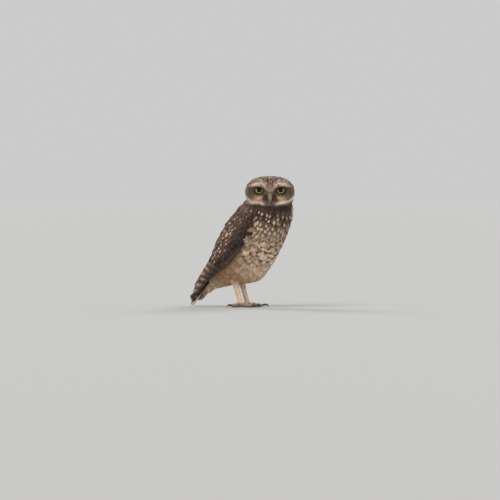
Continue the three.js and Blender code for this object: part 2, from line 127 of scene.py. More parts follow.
class Body:
    """A form along the bird's middle plane.

    Each station gives forward, height, half width, and depth to the back and to the front.
    """

    def __init__(self, stations):
        stations = np.asarray(stations, float)
        self.line = np.column_stack([0 * stations[:, 0], -stations[:, 0], stations[:, 1]])
        self.girth = stations[:, 2:]

    def centre(self, s):
        return curve(self.line, s)

    def surface(self, s, angle, lift=0.0):
        """Points lift above the form: angle 0 is the bird's left side and a quarter turn its back."""
        s, angle = np.broadcast_arrays(np.asarray(s, float), np.asarray(angle, float))
        shape = s.shape
        s, angle = s.ravel(), angle.ravel()
        lift = np.broadcast_to(lift, shape).ravel()[:, None]
        rise = over(heading(self.centre, s, 1e-4))
        width, back, front = curve(self.girth, s).T
        across, up = np.cos(angle), np.sin(angle)
        depth = np.where(up > 0, back, front)
        outward = unit(ACROSS * (across / width)[:, None] + rise * (up / depth)[:, None])
        made = self.centre(s) + ACROSS * (across * width)[:, None] + rise * (up * depth)[:, None]
        return (made + outward * lift).reshape(*shape, 3)

    def find(self, points):
        """Where points lie on the form: s along it and the angle round it."""
        s = np.linspace(0, 1, 141)
        line = self.centre(s)
        near = np.argmin(((points[:, None, :] - line[None]) ** 2).sum(2), axis=1)
        rise = over(unit(np.gradient(line, axis=0))[near])
        width, back, front = curve(self.girth, s[near]).T
        off = points - line[near]
        up = (off * rise).sum(1)
        depth = np.where(up > 0, back, front)
        return s[near], np.arctan2(up / depth, off[:, 0] / width)


trunk = Body([
    (44, 166, 31, 30, 29),
    (42, 149, 37, 39, 37),
    (30, 126, 38, 40, 42),
    (10, 100, 38.5, 42, 48.5),
    (-10, 76, 36.5, 38, 49.5),
    (-34, 52, 25, 22, 25),
    (-57, 32, 8, 5, 7),
    (-73, 20, 2, 1.5, 1.5),
])
# The guide is the fuller form, trunk and folded arms together, that the wing feathers lie on.
guide = Body([
    (44, 166, 32, 31, 30),
    (42, 149, 38, 40, 38),
    (30, 126, 39.2, 41, 43),
    (10, 100, 39.8, 43, 48),
    (-10, 76, 38, 39.5, 48),
    (-35, 55, 29, 27, 30),
    (-58, 36, 20, 19, 17),
    (-80, 7, 16, 15, 8),
])


def ball(rows, columns, place):
    """A closed grid from pole to pole: place(down, round) gives points for both from 0 to 1."""
    down, around = np.meshgrid(np.linspace(0, 1, rows + 1), np.arange(columns) / columns, indexing="ij")
    grid = place(down, around)
    vertices = [grid[0, 0], *grid[1:-1].reshape(-1, 3), grid[-1, 0]]
    at = lambda row, column: 1 + (row - 1) * columns + column % columns
    end = len(vertices) - 1
    faces = [(0, at(1, c), at(1, c + 1)) for c in range(columns)]
    for r in range(1, rows - 1):
        faces += [(at(r, c), at(r + 1, c), at(r + 1, c + 1), at(r, c + 1)) for c in range(columns)]
    faces += [(at(rows - 1, c + 1), at(rows - 1, c), end) for c in range(columns)]
    return np.array(vertices), faces


def trunk_place(down, around):
    return trunk.surface(down, around * 2 * math.pi, -COAT_DEPTH * np.sin(np.pi * down) ** 0.2)


HEAD_HALF_WIDTH, CROWN, CHIN, FACE_DEPTH, NAPE_DEPTH = 37.3, 24.6, 31.0, 25.5, 33.0
HEAD_SQUARENESS, FACE_FLATNESS = 2.3, 2.9


def brow_height(side):
    """Height of the white brow over the middle of the head: low over the bill, arched over the eye."""
    return blend(1.6, 11.5, ease(side, 0, 12.5)) - 1.4 * ease(side, 17, 31)


def face_relief(x, z):
    """How far the face stands out over a plain head, by the dish and rim round each eye, brow and bridge."""
    side = np.abs(x)
    from_eye = np.hypot(side - EYE_OUT, z - EYE_UP)
    bowl = -2.8 * bump(from_eye, 10.5)
    rim = 1.6 * bump(from_eye - 17.5, 3) * ease(side, 4, 16)
    brow = 3.0 * bump(z - brow_height(side) + 0.6, 3.2) * (1 - ease(side, 21, 31))
    bridge = 2.6 * bump(side, 5) * bump(z + 2, 9)
    bristles = 1.6 * bump(side - 6.5, 4) * bump(z + 9, 5)
    return bowl + rim + brow + bridge + bristles


def head_outline(x, z):
    """0 in the middle of the head as seen from the front and 1 on its outline."""
    tall = np.where(z > 0, CROWN, CHIN)
    squared = np.abs(x / HEAD_HALF_WIDTH) ** HEAD_SQUARENESS + np.abs(z / tall) ** HEAD_SQUARENESS
    return squared ** (1 / HEAD_SQUARENESS)


def head_surface(directions, lift=0.0):
    """Points of the head's plumage in the head's frame, out of its centre along the directions."""
    x, y, z = np.moveaxis(directions, -1, 0)
    depth = np.where(y < 0, FACE_DEPTH, NAPE_DEPTH)
    flat = np.where(y < 0, FACE_FLATNESS, HEAD_SQUARENESS)
    plain = (head_outline(x, z) ** flat + np.abs(y / depth) ** flat) ** (-1 / flat)
    radius = plain + ease(-y, 0.25, 0.75) * face_relief(plain * x, plain * z) + lift
    return directions * radius[..., None]


def head_place(down, around):
    """The coat is thin on the face and deep on the crown and nape."""
    turn, fall = around * 2 * math.pi, down * math.pi
    directions = np.stack([np.sin(fall) * np.cos(turn), np.cos(fall), np.sin(fall) * np.sin(turn)], axis=-1)
    coat_depth = blend(COAT_DEPTH * 0.85, FACE_COAT_DEPTH, ease(-directions[..., 1], 0.35, 0.75))
    return from_head(head_surface(directions, -coat_depth))


def arm_place(side):
    """The flesh of one folded wing, a flat lens on the guide that its feathers lie on."""

    def place(down, around):
        fall, turn = down * math.pi, around * 2 * math.pi
        full = lambda v, power: np.sign(v) * np.abs(v) ** power
        x, y, z = np.sin(fall) * np.cos(turn), np.cos(fall), np.sin(fall) * np.sin(turn)
        along = (1 - full(y, 0.75)) / 2
        angle = np.radians(blend(24, 30, along) + blend(46, 31, along) * full(x, 0.75))
        lift = 2.6 * full(z, 0.5) - 2.6
        return guide.surface(blend(0.17, 0.74, along), angle, lift) * [side, 1, 1]

    return place


STANCE, SHANK_LENGTH, SHANK_LEAN, FOOT_FORWARD = 10.0, 46.0, 15.0, -0.5


def on_leg(side, forward, height, out=0.0):
    return np.array([side * (STANCE + out), -(FOOT_FORWARD + forward), height])


def limb(points, sizes, down, around, upright=False):
    """A tube along a curve through the points, with its half width and half height at each."""
    t, turn = down.ravel(), around.ravel()[:, None] * 2 * math.pi
    tangent = heading(lambda t: curve(points, t), t)
    side = unit(np.cross(tangent, [0, 1.0, 0] if upright else [0, 0, 1.0]))
    rise = np.cross(side, tangent)
    size = curve(sizes, t)
    round_ends = np.sqrt(np.clip(1 - (2 * t - 1) ** 8, 0, 1))[:, None]
    ring = side * size[:, :1] * np.cos(turn) + rise * size[:, 1:2] * np.sin(turn)
    return (curve(points, t) + ring * round_ends).reshape(*down.shape, 3)


def leg_place(side):
    heel = -SHANK_LENGTH * math.sin(math.radians(SHANK_LEAN)) + 2
    stations = (6, 74, 4), (-3, 56, 3), (heel, 43, 1), (-9, 35), (-4.6, 20), (-0.8, 8), (0.2, 4)
    points = [on_leg(side, *station) for station in stations]
    sizes = np.array([[13, 15], [13, 15], [9, 9.6], [5.4, 5.6], [4, 4.2], [4.4, 4.6], [3.4, 3.8]])
    return lambda down, around: limb(points, sizes - LEG_COAT_DEPTH, down, around, upright=True)


def joined(parts):
    """Several forms as one: their points together, and their faces counted on from form to form."""
    vertices, faces = [], []
    for own_vertices, own_faces in parts:
        faces += [tuple(corner + len(vertices) for corner in face) for face in own_faces]
        vertices += list(own_vertices)
    return np.array(vertices), faces


def bird_mesh(name, vertices, faces):
    """A smooth mesh of the bird's millimetres, set down in the shared frame in metres."""
    mesh = bpy.data.meshes.new(name)
    mesh.from_pydata(((np.asarray(vertices) + bird_origin) / 1000).tolist(), [], [tuple(f) for f in faces])
    mesh.update()
    mesh.shade_smooth()
    thing = bpy.data.objects.new(name, mesh)
    bpy.context.scene.collection.objects.link(thing)
    return thing


parts = [ball(96, 96, trunk_place), ball(110, 120, head_place)]
parts += [ball(40, 40, arm_place(side)) for side in (1, -1)]
parts += [ball(60, 24, leg_place(side)) for side in (1, -1)]
skin = bird_mesh("skin", *joined(parts))
remesh = skin.modifiers.new("one skin", "REMESH")
remesh.mode, remesh.voxel_size, remesh.use_smooth_shade = "VOXEL", SKIN_VOXEL / 1000, True
relax = skin.modifiers.new("soft joins", "SMOOTH")
relax.factor, relax.iterations = 0.5, 6
bpy.context.view_layer.update()
one_skin = bpy.data.meshes.new_from_object(skin.evaluated_get(bpy.context.evaluated_depsgraph_get()))
skin.modifiers.clear()
skin.data = one_skin

skin_points = np.array([v.co for v in skin.data.vertices]) * 1000 - bird_origin
skin_faces = [tuple(p.vertices) for p in skin.data.polygons]
skin_normals = np.array([v.normal for v in skin.data.vertices])
face_normals = unit(np.array([skin_normals[list(face)].sum(0) for face in skin_faces]))
skin_tree = BVHTree.FromPolygons(skin_points.tolist(), skin_faces)


def on_skin(points):
    """The nearest places of the skin to the points, and its way out there."""
    hits = [skin_tree.find_nearest(point) for point in points.reshape(-1, 3).tolist()]
    places = np.array([hit[0] for hit in hits]).reshape(points.shape)
    return places, face_normals[[hit[2] for hit in hits]].reshape(points.shape)


# The bird is brown with pale spots above and cream with brown bars below, its brows and chin are white.
# Each place has a ground colour and strengths of spot, bar and streak, and skin and coat share them.
DARK_BROWN = np.array([0.05, 0.028, 0.022])
MANTLE_BROWN = np.array([0.094, 0.053, 0.038])
CROWN_BROWN = np.array([0.07, 0.041, 0.025])
COLLAR_BROWN = np.array([0.017, 0.0105, 0.008])
DISC_BROWN = np.array([0.15, 0.1, 0.068])
LORE_BROWN = np.array([0.045, 0.034, 0.027])
BAR_BROWN = np.array([0.165, 0.092, 0.054])
RUFOUS = np.array([0.3, 0.14, 0.065])
BUFF = np.array([0.44, 0.245, 0.125])
LEG_BUFF = np.array([0.93, 0.7, 0.5])
CREAM = np.array([0.72, 0.485, 0.3])
WHITE = np.array([0.95, 0.77, 0.6])
BROW_WHITE = np.array([0.66, 0.505, 0.385])
OUTER_BROW = np.array([0.25, 0.18, 0.115])
PALE_SPOT = (0.6, 0.45, 0.32)


def mix(a, b, t):
    return a + (b - a) * np.asarray(t)[:, None]


def front_of(angle):
    """Degrees from the middle of the breast, whichever side."""
    return np.abs(np.degrees(np.arctan2(np.sin(angle + np.pi / 2), np.cos(angle + np.pi / 2))))


def body_marks(points):
    """Ground colour, and strengths of spot, bar and streak, for places on trunk and wings.

    They are placed by s, 0 at the neck and 1 at the tail, and by degrees from the middle of the breast.
    """
    s, angle = trunk.find(points)
    front = front_of(angle)
    above = ease(front, 92, 112)
    level = s - 0.0011 * (front - 45) - 0.07 * ease(front, 66, 94)
    flank = ease(s, 0.36, 0.5) * ease(front, 35, 80) * (1 - ease(s, 0.66, 0.8))
    collar = bump(s - 0.07, 0.035) * (1 - above)
    ground = mix(DARK_BROWN, CREAM, ease(level, 0.21, 0.37))
    ground = mix(ground, BAR_BROWN, 0.6 * bump(level - 0.24, 0.075))
    ground = mix(ground, RUFOUS, 0.55 * (bump(front - 74, 20) * bump(s - 0.3, 0.09)))
    # Partly brown bars, partly painted shade: the flank is darkened just below the wing's lower edge.
    ground = mix(ground, BAR_BROWN, 0.6 * bump(front - 80, 32) * bump(s - 0.44, 0.15))
    ground = mix(ground, BUFF, 0.8 * flank)
    ground = mix(ground, WHITE, 0.75 * bump(front - 10, 62) * bump(s - 0.39, 0.15))
    ground = mix(ground, BUFF, 0.45 * ease(s, 0.5, 0.6) * (1 - ease(s, 0.7, 0.78)))
    ground = mix(ground, WHITE, 0.8 * ease(s, 0.7, 0.8))
    ground = mix(ground, MANTLE_BROWN, above)
    ground = mix(ground, COLLAR_BROWN, 0.95 * collar)
    growing = 1.05 + 0.5 * bump(level - 0.22, 0.1)
    spot = blend((1 - ease(level, 0.25, 0.34)) * growing, 0.7, above) * (1 - 0.5 * collar)
    spot = spot * (1 - 0.8 * bump(front - 96, 10) * (1 - above))
    bar = ease(level, 0.15, 0.24) * (1 - ease(s - 0.0014 * (front - 30), 0.39, 0.5)) * (1 - above)
    return ground, spot, bar, 0 * s


def head_marks(points):
    """The same for the head, placed in its own frame: crown, brows, facial disc, lores, cheeks and chin."""
    x, y, z = in_head(points).T
    side = np.abs(x)
    from_eye = np.hypot(side - EYE_OUT, z - EYE_UP)
    facing = ease(-y, 2, 10)
    brow_line = brow_height(side)
    in_disc = facing * (1 - ease(z - brow_line, 1.2, 3.4))
    ground = mix(CROWN_BROWN, DISC_BROWN, in_disc)
    fleck = np.sin(1.25 * from_eye + 2.0 * np.sin(0.5 * x + 0.37 * z))
    fleck = fleck * np.sin(0.83 * x - 0.61 * z + 1.5 * np.sin(0.4 * z))
    for colour, sign in ((LORE_BROWN, 1), (OUTER_BROW, -1)):
        ground = mix(ground, colour, 0.8 * ease(sign * fleck, 0.1, 0.7) * facing * ease(from_eye, 9, 13))
    ground = mix(ground, DARK_BROWN, 0.35 * ease(side, 20, 30) * in_disc)
    under_eye = bump(np.hypot((side - 15) / 2.0, z + 7.2), 3.6) * facing
    ground = mix(ground, CREAM, 0.95 * under_eye)
    lores = bump(np.hypot(side - 7, (z + 6.5) / 1.9), 3.6) * facing
    ground = mix(ground, LORE_BROWN, 0.9 * lores)
    chin_line = z + 13.2 + 4.5 * bump(side, 9) - 5 * ease(side, 24, 37)
    crescent = bump(chin_line, 2.6) * ease(side, 4, 9) * ease(-y, -6, 4)
    ground = mix(ground, WHITE, crescent * np.where(x < 0, 0.7, 0.98))
    under = ease(-z, 15.2, 18.5)
    ground = mix(ground, COLLAR_BROWN, 0.9 * under)
    ring = bump(from_eye - 7.5, 1.2) * facing * (1 - ease(z - EYE_UP, 3.5, 6))
    ground = mix(ground, LORE_BROWN, 0.9 * ring)
    over_eye = 0.9 * bump(side - 15, 9)
    brow = bump(z - brow_line + over_eye, blend(3.7, 2.1, ease(side, 16, 30)) + 0.4 * over_eye)
    brow = brow * (0.35 + 0.65 * ease(side, 3, 8)) * (1 - ease(side, 26, 34)) * facing
    pale = mix(BROW_WHITE, OUTER_BROW, ease(side, 19, 28))
    ground = mix(ground, pale, np.clip(1.3 * brow, 0, 1) * (1 - 0.8 * ring))
    ground = mix(ground, OUTER_BROW, 0.75 * bump(np.hypot(side, z - 2.5), 3.0) * facing)
    not_white = 1 - np.clip(brow + crescent, 0, 1)
    crown = (1 - in_disc) * (1 - under) * not_white
    crown = np.maximum(crown, 0.8 * facing * ease(from_eye, 9.5, 13) * (1 - under) * not_white)
    rings = 0.75 * in_disc * ease(from_eye, 10, 16) * not_white
    return ground, 0 * x, rings, 0.62 * crown


def arithmetic(operation, turned=False):
    """A method of Wire that adds one Math node; turned puts the wire second."""

    def method(self, other):
        pair = [other, self] if turned else [self, other]
        return self.finish.node("ShaderNodeMath", {"operation": operation}, pair)

    return method


class Wire:
    """A value inside a material. Sums and products of wires and numbers add their Math nodes."""

    __add__ = __radd__ = arithmetic("ADD")
    __mul__ = __rmul__ = arithmetic("MULTIPLY")
    __sub__, __rsub__ = arithmetic("SUBTRACT"), arithmetic("SUBTRACT", turned=True)
    __truediv__, __rtruediv__ = arithmetic("DIVIDE"), arithmetic("DIVIDE", turned=True)
    __pow__, __rpow__ = arithmetic("POWER"), arithmetic("POWER", turned=True)

    def __init__(self, finish, socket):
        self.finish, self.socket = finish, socket

    def math(self, operation, *others):
        return self.finish.node("ShaderNodeMath", {"operation": operation}, [self, *others])

    def step(self, low, high):
        """0 below low, 1 above high; the other way round if low is above high."""
        values = [self, low, high, 0.0, 1.0] if low < high else [self, high, low, 1.0, 0.0]
        return self.finish.node("ShaderNodeMapRange", {"interpolation_type": "SMOOTHSTEP"}, values)

    def clip(self):
        return self.math("MAXIMUM", 0.0).math("MINIMUM", 1.0)

    def near(self, other, reach):
        """1 where the value is the other, 0 where it is more than reach away."""
        return (self - other).math("ABSOLUTE").step(reach, 0.0)

    def own(self, low, high, factor):
        """A share of its own for each value, picked by spreading it with a factor."""
        return (self * factor).math("FRACT").step(low, high)

    def part(self, name):
        """One of the outputs of the node that this wire comes from, by name or number."""
        return Wire(self.finish, self.socket.node.outputs[name])


class Finish:
    """A material made of nodes, on one Principled surface."""

    def __init__(self, name):
        self.material = bpy.data.materials.new(name)
        self.material.use_nodes = True
        self.nodes, self.links = self.material.node_tree.nodes, self.material.node_tree.links
        self.surface = self.nodes["Principled BSDF"]

    def join(self, value, socket):
        if isinstance(value, Wire):
            self.links.new(value.socket, socket)
        elif socket.type == "RGBA" and len(value) == 3:
            socket.default_value = (*value, 1.0)
        else:
            socket.default_value = value

    def node(self, kind, settings=None, inputs=()):
        """A node of a kind: its settings first, then values or wires of its sockets, in order or by name."""
        made = self.nodes.new(kind)
        for key, value in (settings or {}).items():
            setattr(made, key, value)
        for key, value in inputs.items() if isinstance(inputs, dict) else enumerate(inputs):
            self.join(value, made.inputs[key])
        return Wire(self, next(output for output in made.outputs if output.enabled))

    def mix(self, share, a, b):
        """Colour a with a share of colour b over it, by a Mix node's colour sockets."""
        return self.node("ShaderNodeMix", {"data_type": "RGBA"}, {0: share, 6: a, 7: b}).part(2)

    def attribute(self, name, output="Fac"):
        return self.node("ShaderNodeAttribute", {"attribute_name": name}).part(output)

    def toned(self, colour, tone):
        return self.node("ShaderNodeVectorMath", {"operation": "SCALE"}, {"Vector": colour, "Scale": tone})

    def places(self, name):
        """The two places of a UV map."""
        where = self.node("ShaderNodeSeparateXYZ", None, [self.node("ShaderNodeUVMap", {"uv_map": name})])
        return where, where.part("Y")

    def solid(self, kind, output, **inputs):
        """A texture that fills space, read in metres of the bird."""
        where = self.node("ShaderNodeTexCoord").part("Object")
        return self.node(kind, None, {"Vector": where, **inputs}).part(output)

    def noise(self, scale, detail=2.0):
        return self.solid("ShaderNodeTexNoise", "Fac", Scale=scale, Detail=detail)

    def relief(self, height, distance, strength=1.0):
        sockets = {"Height": height, "Distance": distance, "Strength": strength}
        return self.node("ShaderNodeBump", None, sockets)

    def wear(self, **sockets):
        for name, value in sockets.items():
            self.join(value, self.surface.inputs[name.replace("_", " ")])


FEATHER_MARKS = "spot", "bar", "streak", "chance", "length"


def plumage_finish(name, spot_colour, bar_colour):
    """Feather keratin: a ground colour, a pale spot, brown bars and fine barbs on both sides of a shaft."""
    coat = Finish(name)
    u, v = coat.places("vane")
    spot, bar, streak, chance, length = (coat.attribute(mark) for mark in FEATHER_MARKS)
    off = (u - 0.5).math("ABSOLUTE")
    barbs = ((v * 1.6 - off * 0.9) * length * 2.2).math("SINE")
    mottle = coat.noise(260.0, 3.0) - 0.5
    ragged = barbs * 0.015 + mottle * 0.36
    nearer_end = (chance * 11.3).math("FRACT") * 0.13
    narrower = (chance * 17.1).math("FRACT") * 0.8 + 0.8
    from_spot = ((off * narrower * 1.5) ** 2.0 + ((v - 0.72 - nearer_end) * 1.45) ** 2.0) ** 0.5 + ragged
    spotted_here = (chance + spot * 0.6).step(0.5, 0.75)
    spot_size = spot * (chance * 0.13 + 0.14) * spotted_here
    spots = ((spot_size - from_spot) * 6.5 + 0.5).clip() * spot.step(0.0, 0.3)
    curved = v + off * 0.1 + ragged * 0.6 + chance * 0.08
    bars = (curved.near(0.86, 0.16) * 2.0).clip() * off.step(0.42, 0.27) * bar * chance.own(0.12, 0.25, 7.3)
    line = off.step(0.22, 0.1) * v.step(0.4, 0.6) * streak * chance.own(0.45, 0.65, 5.7) * 0.75
    tone = (chance - 0.5) * 0.3 + barbs * 0.04 + mottle * 0.8 + 1.0
    colour = coat.toned(coat.attribute("ground", "Color"), tone)
    colour = coat.mix(v.step(0.88, 1.0) * 0.16, colour, spot_colour)
    colour = coat.mix(bars.math("MINIMUM", 1.0), colour, bar_colour)
    colour = coat.mix(line, colour, spot_colour)
    colour = coat.mix(spots, colour, spot_colour)
    colour = coat.mix(off.step(0.05, 0.02) * 0.2, colour, bar_colour)
    coat.wear(Base_Color=colour, Roughness=0.75, Normal=coat.relief(barbs, 0.00006, 0.5))
    coat.wear(Specular_IOR_Level=0.18, Sheen_Weight=0.05, Sheen_Roughness=0.4)
    return coat.material


body_plumage = plumage_finish("body plumage", PALE_SPOT, BAR_BROWN)


def mapped(thing, name, places):
    """Gives a mesh a UV map from one place for each point."""
    corners = np.zeros(len(thing.data.loops), np.int32)
    thing.data.loops.foreach_get("vertex_index", corners)
    layer = thing.data.uv_layers.new(name=name)
    layer.data.foreach_set("uv", places[corners].astype(np.float32).ravel())


def clothe(thing, marks, chance, vane, lengths, bake):
    """Writes what the plumage finish reads: ground colour and marks at each point, and both feather maps."""
    attributes = thing.data.attributes
    ground, *strengths = marks
    colours = np.column_stack([ground, np.ones(len(ground))]).astype(np.float32)
    attributes.new("ground", "FLOAT_COLOR", "POINT").data.foreach_set("color", colours.ravel())
    for name, values in zip(FEATHER_MARKS, [*strengths, chance, lengths]):
        attributes.new(name, "FLOAT", "POINT").data.foreach_set("value", np.asarray(values, np.float32))
    mapped(thing, "vane", vane)
    mapped(thing, "OFBake", bake)


def is_head(points):
    """Whether places are on the head rather than on the neck."""
    local = in_head(points)
    reach = np.linalg.norm(head_surface(unit(local)), axis=1)
    return (np.linalg.norm(local, axis=1) < reach + 0.2) & (local[:, 2] > -25)


def is_leg(points):
    return points[:, 2] < np.where(points[:, 1] > 20, -1, 37)


def unwrap(points):
    """The skin laid flat: trunk on the left, head above and legs below on the right."""
    s, angle = trunk.find(points)
    x, y, z = in_head(points).T
    on_head = is_head(points)
    legs = is_leg(points)
    turn = np.arctan2(x, -y) / (2 * np.pi) + 0.5
    leg_turn = np.arctan2(points[:, 0] - np.sign(points[:, 0]) * STANCE, points[:, 1]) / (2 * np.pi) + 0.5
    u = np.where(on_head, 0.52 + 0.46 * turn, 0.02 + 0.46 * ((angle / (2 * np.pi)) % 1))
    v = np.where(on_head, 0.4 + 0.56 * (z + CHIN) / (CROWN + CHIN), 0.02 + 0.96 * s)
    u = np.where(legs, blend(0.52, 0.76, points[:, 0] > 0) + 0.2 * leg_turn, u)
    v = np.where(legs, 0.02 + 0.34 * points[:, 2] / 40, v)
    return np.column_stack([u, v])


def skin_marks(points):
    body, head = body_marks(points), head_marks(points)
    chosen, legs = is_head(points), is_leg(points)
    made = [np.where(chosen if b.ndim == 1 else chosen[:, None], h, b) for b, h in zip(body, head)]
    ground, *strengths = made
    return [np.where(legs[:, None], LEG_BUFF, ground), *(np.where(legs, 0, mark) for mark in strengths)]


# Between the feathers the skin wears plain down, coloured as a short feather is near its root.
DOWN_TONE, DOWN_LENGTH = 0.3, 6.0
tone, length = (np.full(len(skin_points), value) for value in (DOWN_TONE, DOWN_LENGTH))
clothe(skin, skin_marks(skin_points), tone, np.column_stack([tone, tone]), length, unwrap(skin_points))
skin.data.materials.clear()
skin.data.materials.append(body_plumage)
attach(skin, "root")
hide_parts("torso", "neck", "head", "thigh_left", "thigh_right", "shank_left", "shank_right")

# Breast and belly
# Soft rounded feathers: dark with a pale spot on the upper breast, cream with bars below, plain on the belly.
# Each is a thin blade rooted in the skin, laid over the next as a roof tile is, half a feather aside from it.
SHORT_ROWS = np.array([0, 0.55, 0.78, 1.0])
SOFT_ROWS = np.array([0, 0.3, 0.55, 0.74, 0.88, 0.96, 1.0])
SOFT_WIDTHS = np.array([0.4, 0.8, 1.0, 1.0, 0.82, 0.5, 0.12])
# Places across a blade on its upper face, then back on its under face.
FINE = np.array([-1, 0, 1.0]), np.array([0.0])
BROAD = np.array([-1, -0.66, -0.33, 0, 0.33, 0.66, 1.0]), np.array([0.6, 0, -0.6])
CUP, FRINGE_FROM = 0.22, 0.68


def flat_on(ways, normals):
    return unit(ways - normals * (ways * normals).sum(-1, keepdims=True))


def body_lie(points, normals):
    """The way feathers point on trunk and neck: down along the body to the tail."""
    s, _ = trunk.find(points)
    return flat_on(heading(trunk.centre, s, 0.01), normals)


def lay(roots, lie, lengths, rows, wander, luck):
    """Centre lines over the skin from the roots, for a way of lying, with each feather's own small turn."""
    place, normal = on_skin(roots)
    turn = luck.normal(0, wander, len(roots))[:, None]
    way = lie(place, normal)
    way = unit(way + np.cross(normal, way) * turn)
    laid = [(place, normal, way)]
    for step in np.diff(rows):
        place, normal = on_skin(place + way * (lengths * step)[:, None])
        goal = lie(place, normal)
        goal = goal + np.cross(normal, goal) * turn
        way = unit(flat_on(way, normal) + 0.6 * goal)
        laid.append((place, normal, way))
    return (np.stack(made, axis=1) for made in zip(*laid))


def plume_mesh(name, rings, vane, marks, lengths, chance, bake_place, patch, finish):
    """Joins many feathers: rings of points from root to tip, closed at both ends, as one mesh."""
    number, rows, round_points = rings.shape[:3]
    per = rows * round_points
    r, k = np.meshgrid(np.arange(rows - 1) * round_points, np.arange(round_points), indexing="ij")
    after, below = (k + 1) % round_points, r + round_points
    walls = np.stack([r + k, r + after, below + after, below + k], axis=-1).reshape(-1, 4)
    i = np.arange(round_points // 2 - 1)
    cap = np.stack([i, round_points - 1 - i, round_points - 2 - i, i + 1], axis=-1)
    one = np.vstack([walls, cap, (rows - 1) * round_points + cap[:, ::-1]])
    faces = (one[None] + (np.arange(number) * per)[:, None, None]).reshape(-1, 4)
    mesh = bpy.data.meshes.new(name)
    vertices = (rings.reshape(-1, 3) + bird_origin) / 1000
    mesh.vertices.add(len(vertices))
    mesh.vertices.foreach_set("co", vertices.astype(np.float32).ravel())
    mesh.loops.add(faces.size)
    mesh.loops.foreach_set("vertex_index", faces.astype(np.int32).ravel())
    mesh.polygons.add(len(faces))
    mesh.polygons.foreach_set("loop_start", np.arange(0, faces.size, 4, dtype=np.int32))
    mesh.polygons.foreach_set("use_smooth", np.ones(len(faces), bool))
    mesh.update(calc_edges=True)
    thing = bpy.data.objects.new(name, mesh)
    bpy.context.scene.collection.objects.link(thing)
    each = lambda values: np.repeat(np.asarray(values), per, axis=0)
    flat_vane = np.broadcast_to(vane, (number, rows, round_points, 2)).reshape(-1, 2)
    bake = each(bake_place) + (flat_vane - 0.5) * patch
    clothe(thing, [each(mark) for mark in marks], each(chance), flat_vane, each(lengths), bake)
    mesh.materials.append(finish)
    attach(thing, "root")
    return thing


def small_feathers(name, slot, roots, lie, marks_of, length, half, rise, seed, widths, rows=SHORT_ROWS,
                   section=FINE, patch=0.003, wander=0.12, ragged=0.14, barbs=0, bold=1.0):
    """A coat of small feathers on the skin; length, half width and rise are numbers or a value for each root.

    The end of each blade can be split into barbs, which stand past it as a soft fringe.
    """
    luck = np.random.default_rng(seed)
    number = len(roots)
    size = luck.normal(1, 0.09, number).clip(0.75, 1.25)
    lengths = np.broadcast_to(length, number) * size
    halves = np.broadcast_to(half, number) * size
    lines, ups, ways = lay(roots, lie, lengths, rows, wander, luck)
    sides = np.cross(ups, ways)
    profile = 1.25 * rows[None] ** 0.8 - 0.35 * rows[None] ** 3
    out = np.broadcast_to(rise, number)[:, None] * profile * luck.normal(1, 0.1, (number, 1)) - 0.25
    wide = halves[:, None] * widths[None]
    thick = 0.05 + 0.05 * wide / wide.max()
    fray = 1 + luck.normal(0, ragged, (number, len(rows)))
    upper, under = section
    rings = []
    for across, lift in [(a, 1) for a in upper] + [(a, -1) for a in under]:
        reach = across * wide * fray
        height = out + lift * thick * (1 - across**2) - CUP * np.abs(reach) * abs(across)
        slip = luck.normal(0, ragged * 0.5, (number, len(rows))) * wide
        slip = slip * (abs(across) + (len(upper) > 3) * 0.6) * rows[None] * (lift > 0)
        rings.append(lines + sides * reach[..., None] + ups * height[..., None] + ways * slip[..., None])
    u = (np.concatenate([upper, under]) + 1) / 2
    vane = np.stack(np.broadcast_arrays(u[None, :], rows[:, None]), axis=-1)
    places, tones = lines[:, 0], luck.random(number)
    ground, spot, bar, streak = marks_of(places)
    marks = ground, spot * (0.8 + 0.2 * np.broadcast_to(bold, number)), bar * bold, streak
    flat_places = unwrap(places)
    rings = np.stack(rings, axis=2)
    blades = plume_mesh(name, rings, vane, marks, lengths, tones, flat_places, patch, body_plumage)
    if not barbs:
        return
    across = np.linspace(-0.95, 0.95, barbs) + luck.normal(0, 0.06, (number, barbs))
    ends = 1.05 - 0.15 * across**2 + luck.normal(0, 0.05, (number, barbs))
    which = np.arange(number)[:, None, None]
    t = np.stack([0 * ends + FRINGE_FROM, 0.45 * FRINGE_FROM + 0.55 * ends, ends], axis=-1)
    inside = np.minimum(t, 0.999)
    j = np.searchsorted(rows, inside, side="right") - 1
    f = ((inside - rows[j]) / (rows[j + 1] - rows[j]))[..., None]
    at = lambda values: values[which, j] * (1 - f) + values[which, j + 1] * f
    line, up, way, side = at(lines), at(ups), at(ways), at(sides)
    reach = across[..., None] * at(wide[..., None])[..., 0]
    spread = across[..., None] * halves[:, None, None] * (0.55 + luck.random(t.shape) * 0.2)
    reach = np.where(t > 0.9, spread, reach)
    height = at(out[..., None])[..., 0] - CUP * np.abs(reach * across[..., None]) + 0.12
    line = line + way * ((t - inside) * lengths[:, None, None])[..., None] + side * reach[..., None]
    line = line + up * height[..., None]
    thin = (halves[:, None, None] * [0.1, 0.085, 0.015])[..., None]
    corners = [side * thin, up * 0.09, -side * thin, -up * 0.09]
    rings = np.stack([line - corner for corner in corners], axis=3).reshape(-1, 3, 4, 3)
    vane = np.stack([np.broadcast_to((across[..., None] * 0.9 + 1) / 2, t.shape), np.minimum(t, 1)], axis=-1)
    vane = np.repeat(vane.reshape(-1, 3, 1, 2), 4, axis=2)
    every = lambda values: np.repeat(values, barbs, axis=0)
    fringe = plume_mesh(f"{name}_fringe", rings, vane, [every(mark) for mark in marks], every(lengths),
                        every(tones), every(flat_places), patch, body_plumage)


def walked(points):
    """Millimetres walked along a line of points, at each of them."""
    return np.concatenate([[0], np.cumsum(np.linalg.norm(np.diff(points, axis=0), axis=1))])


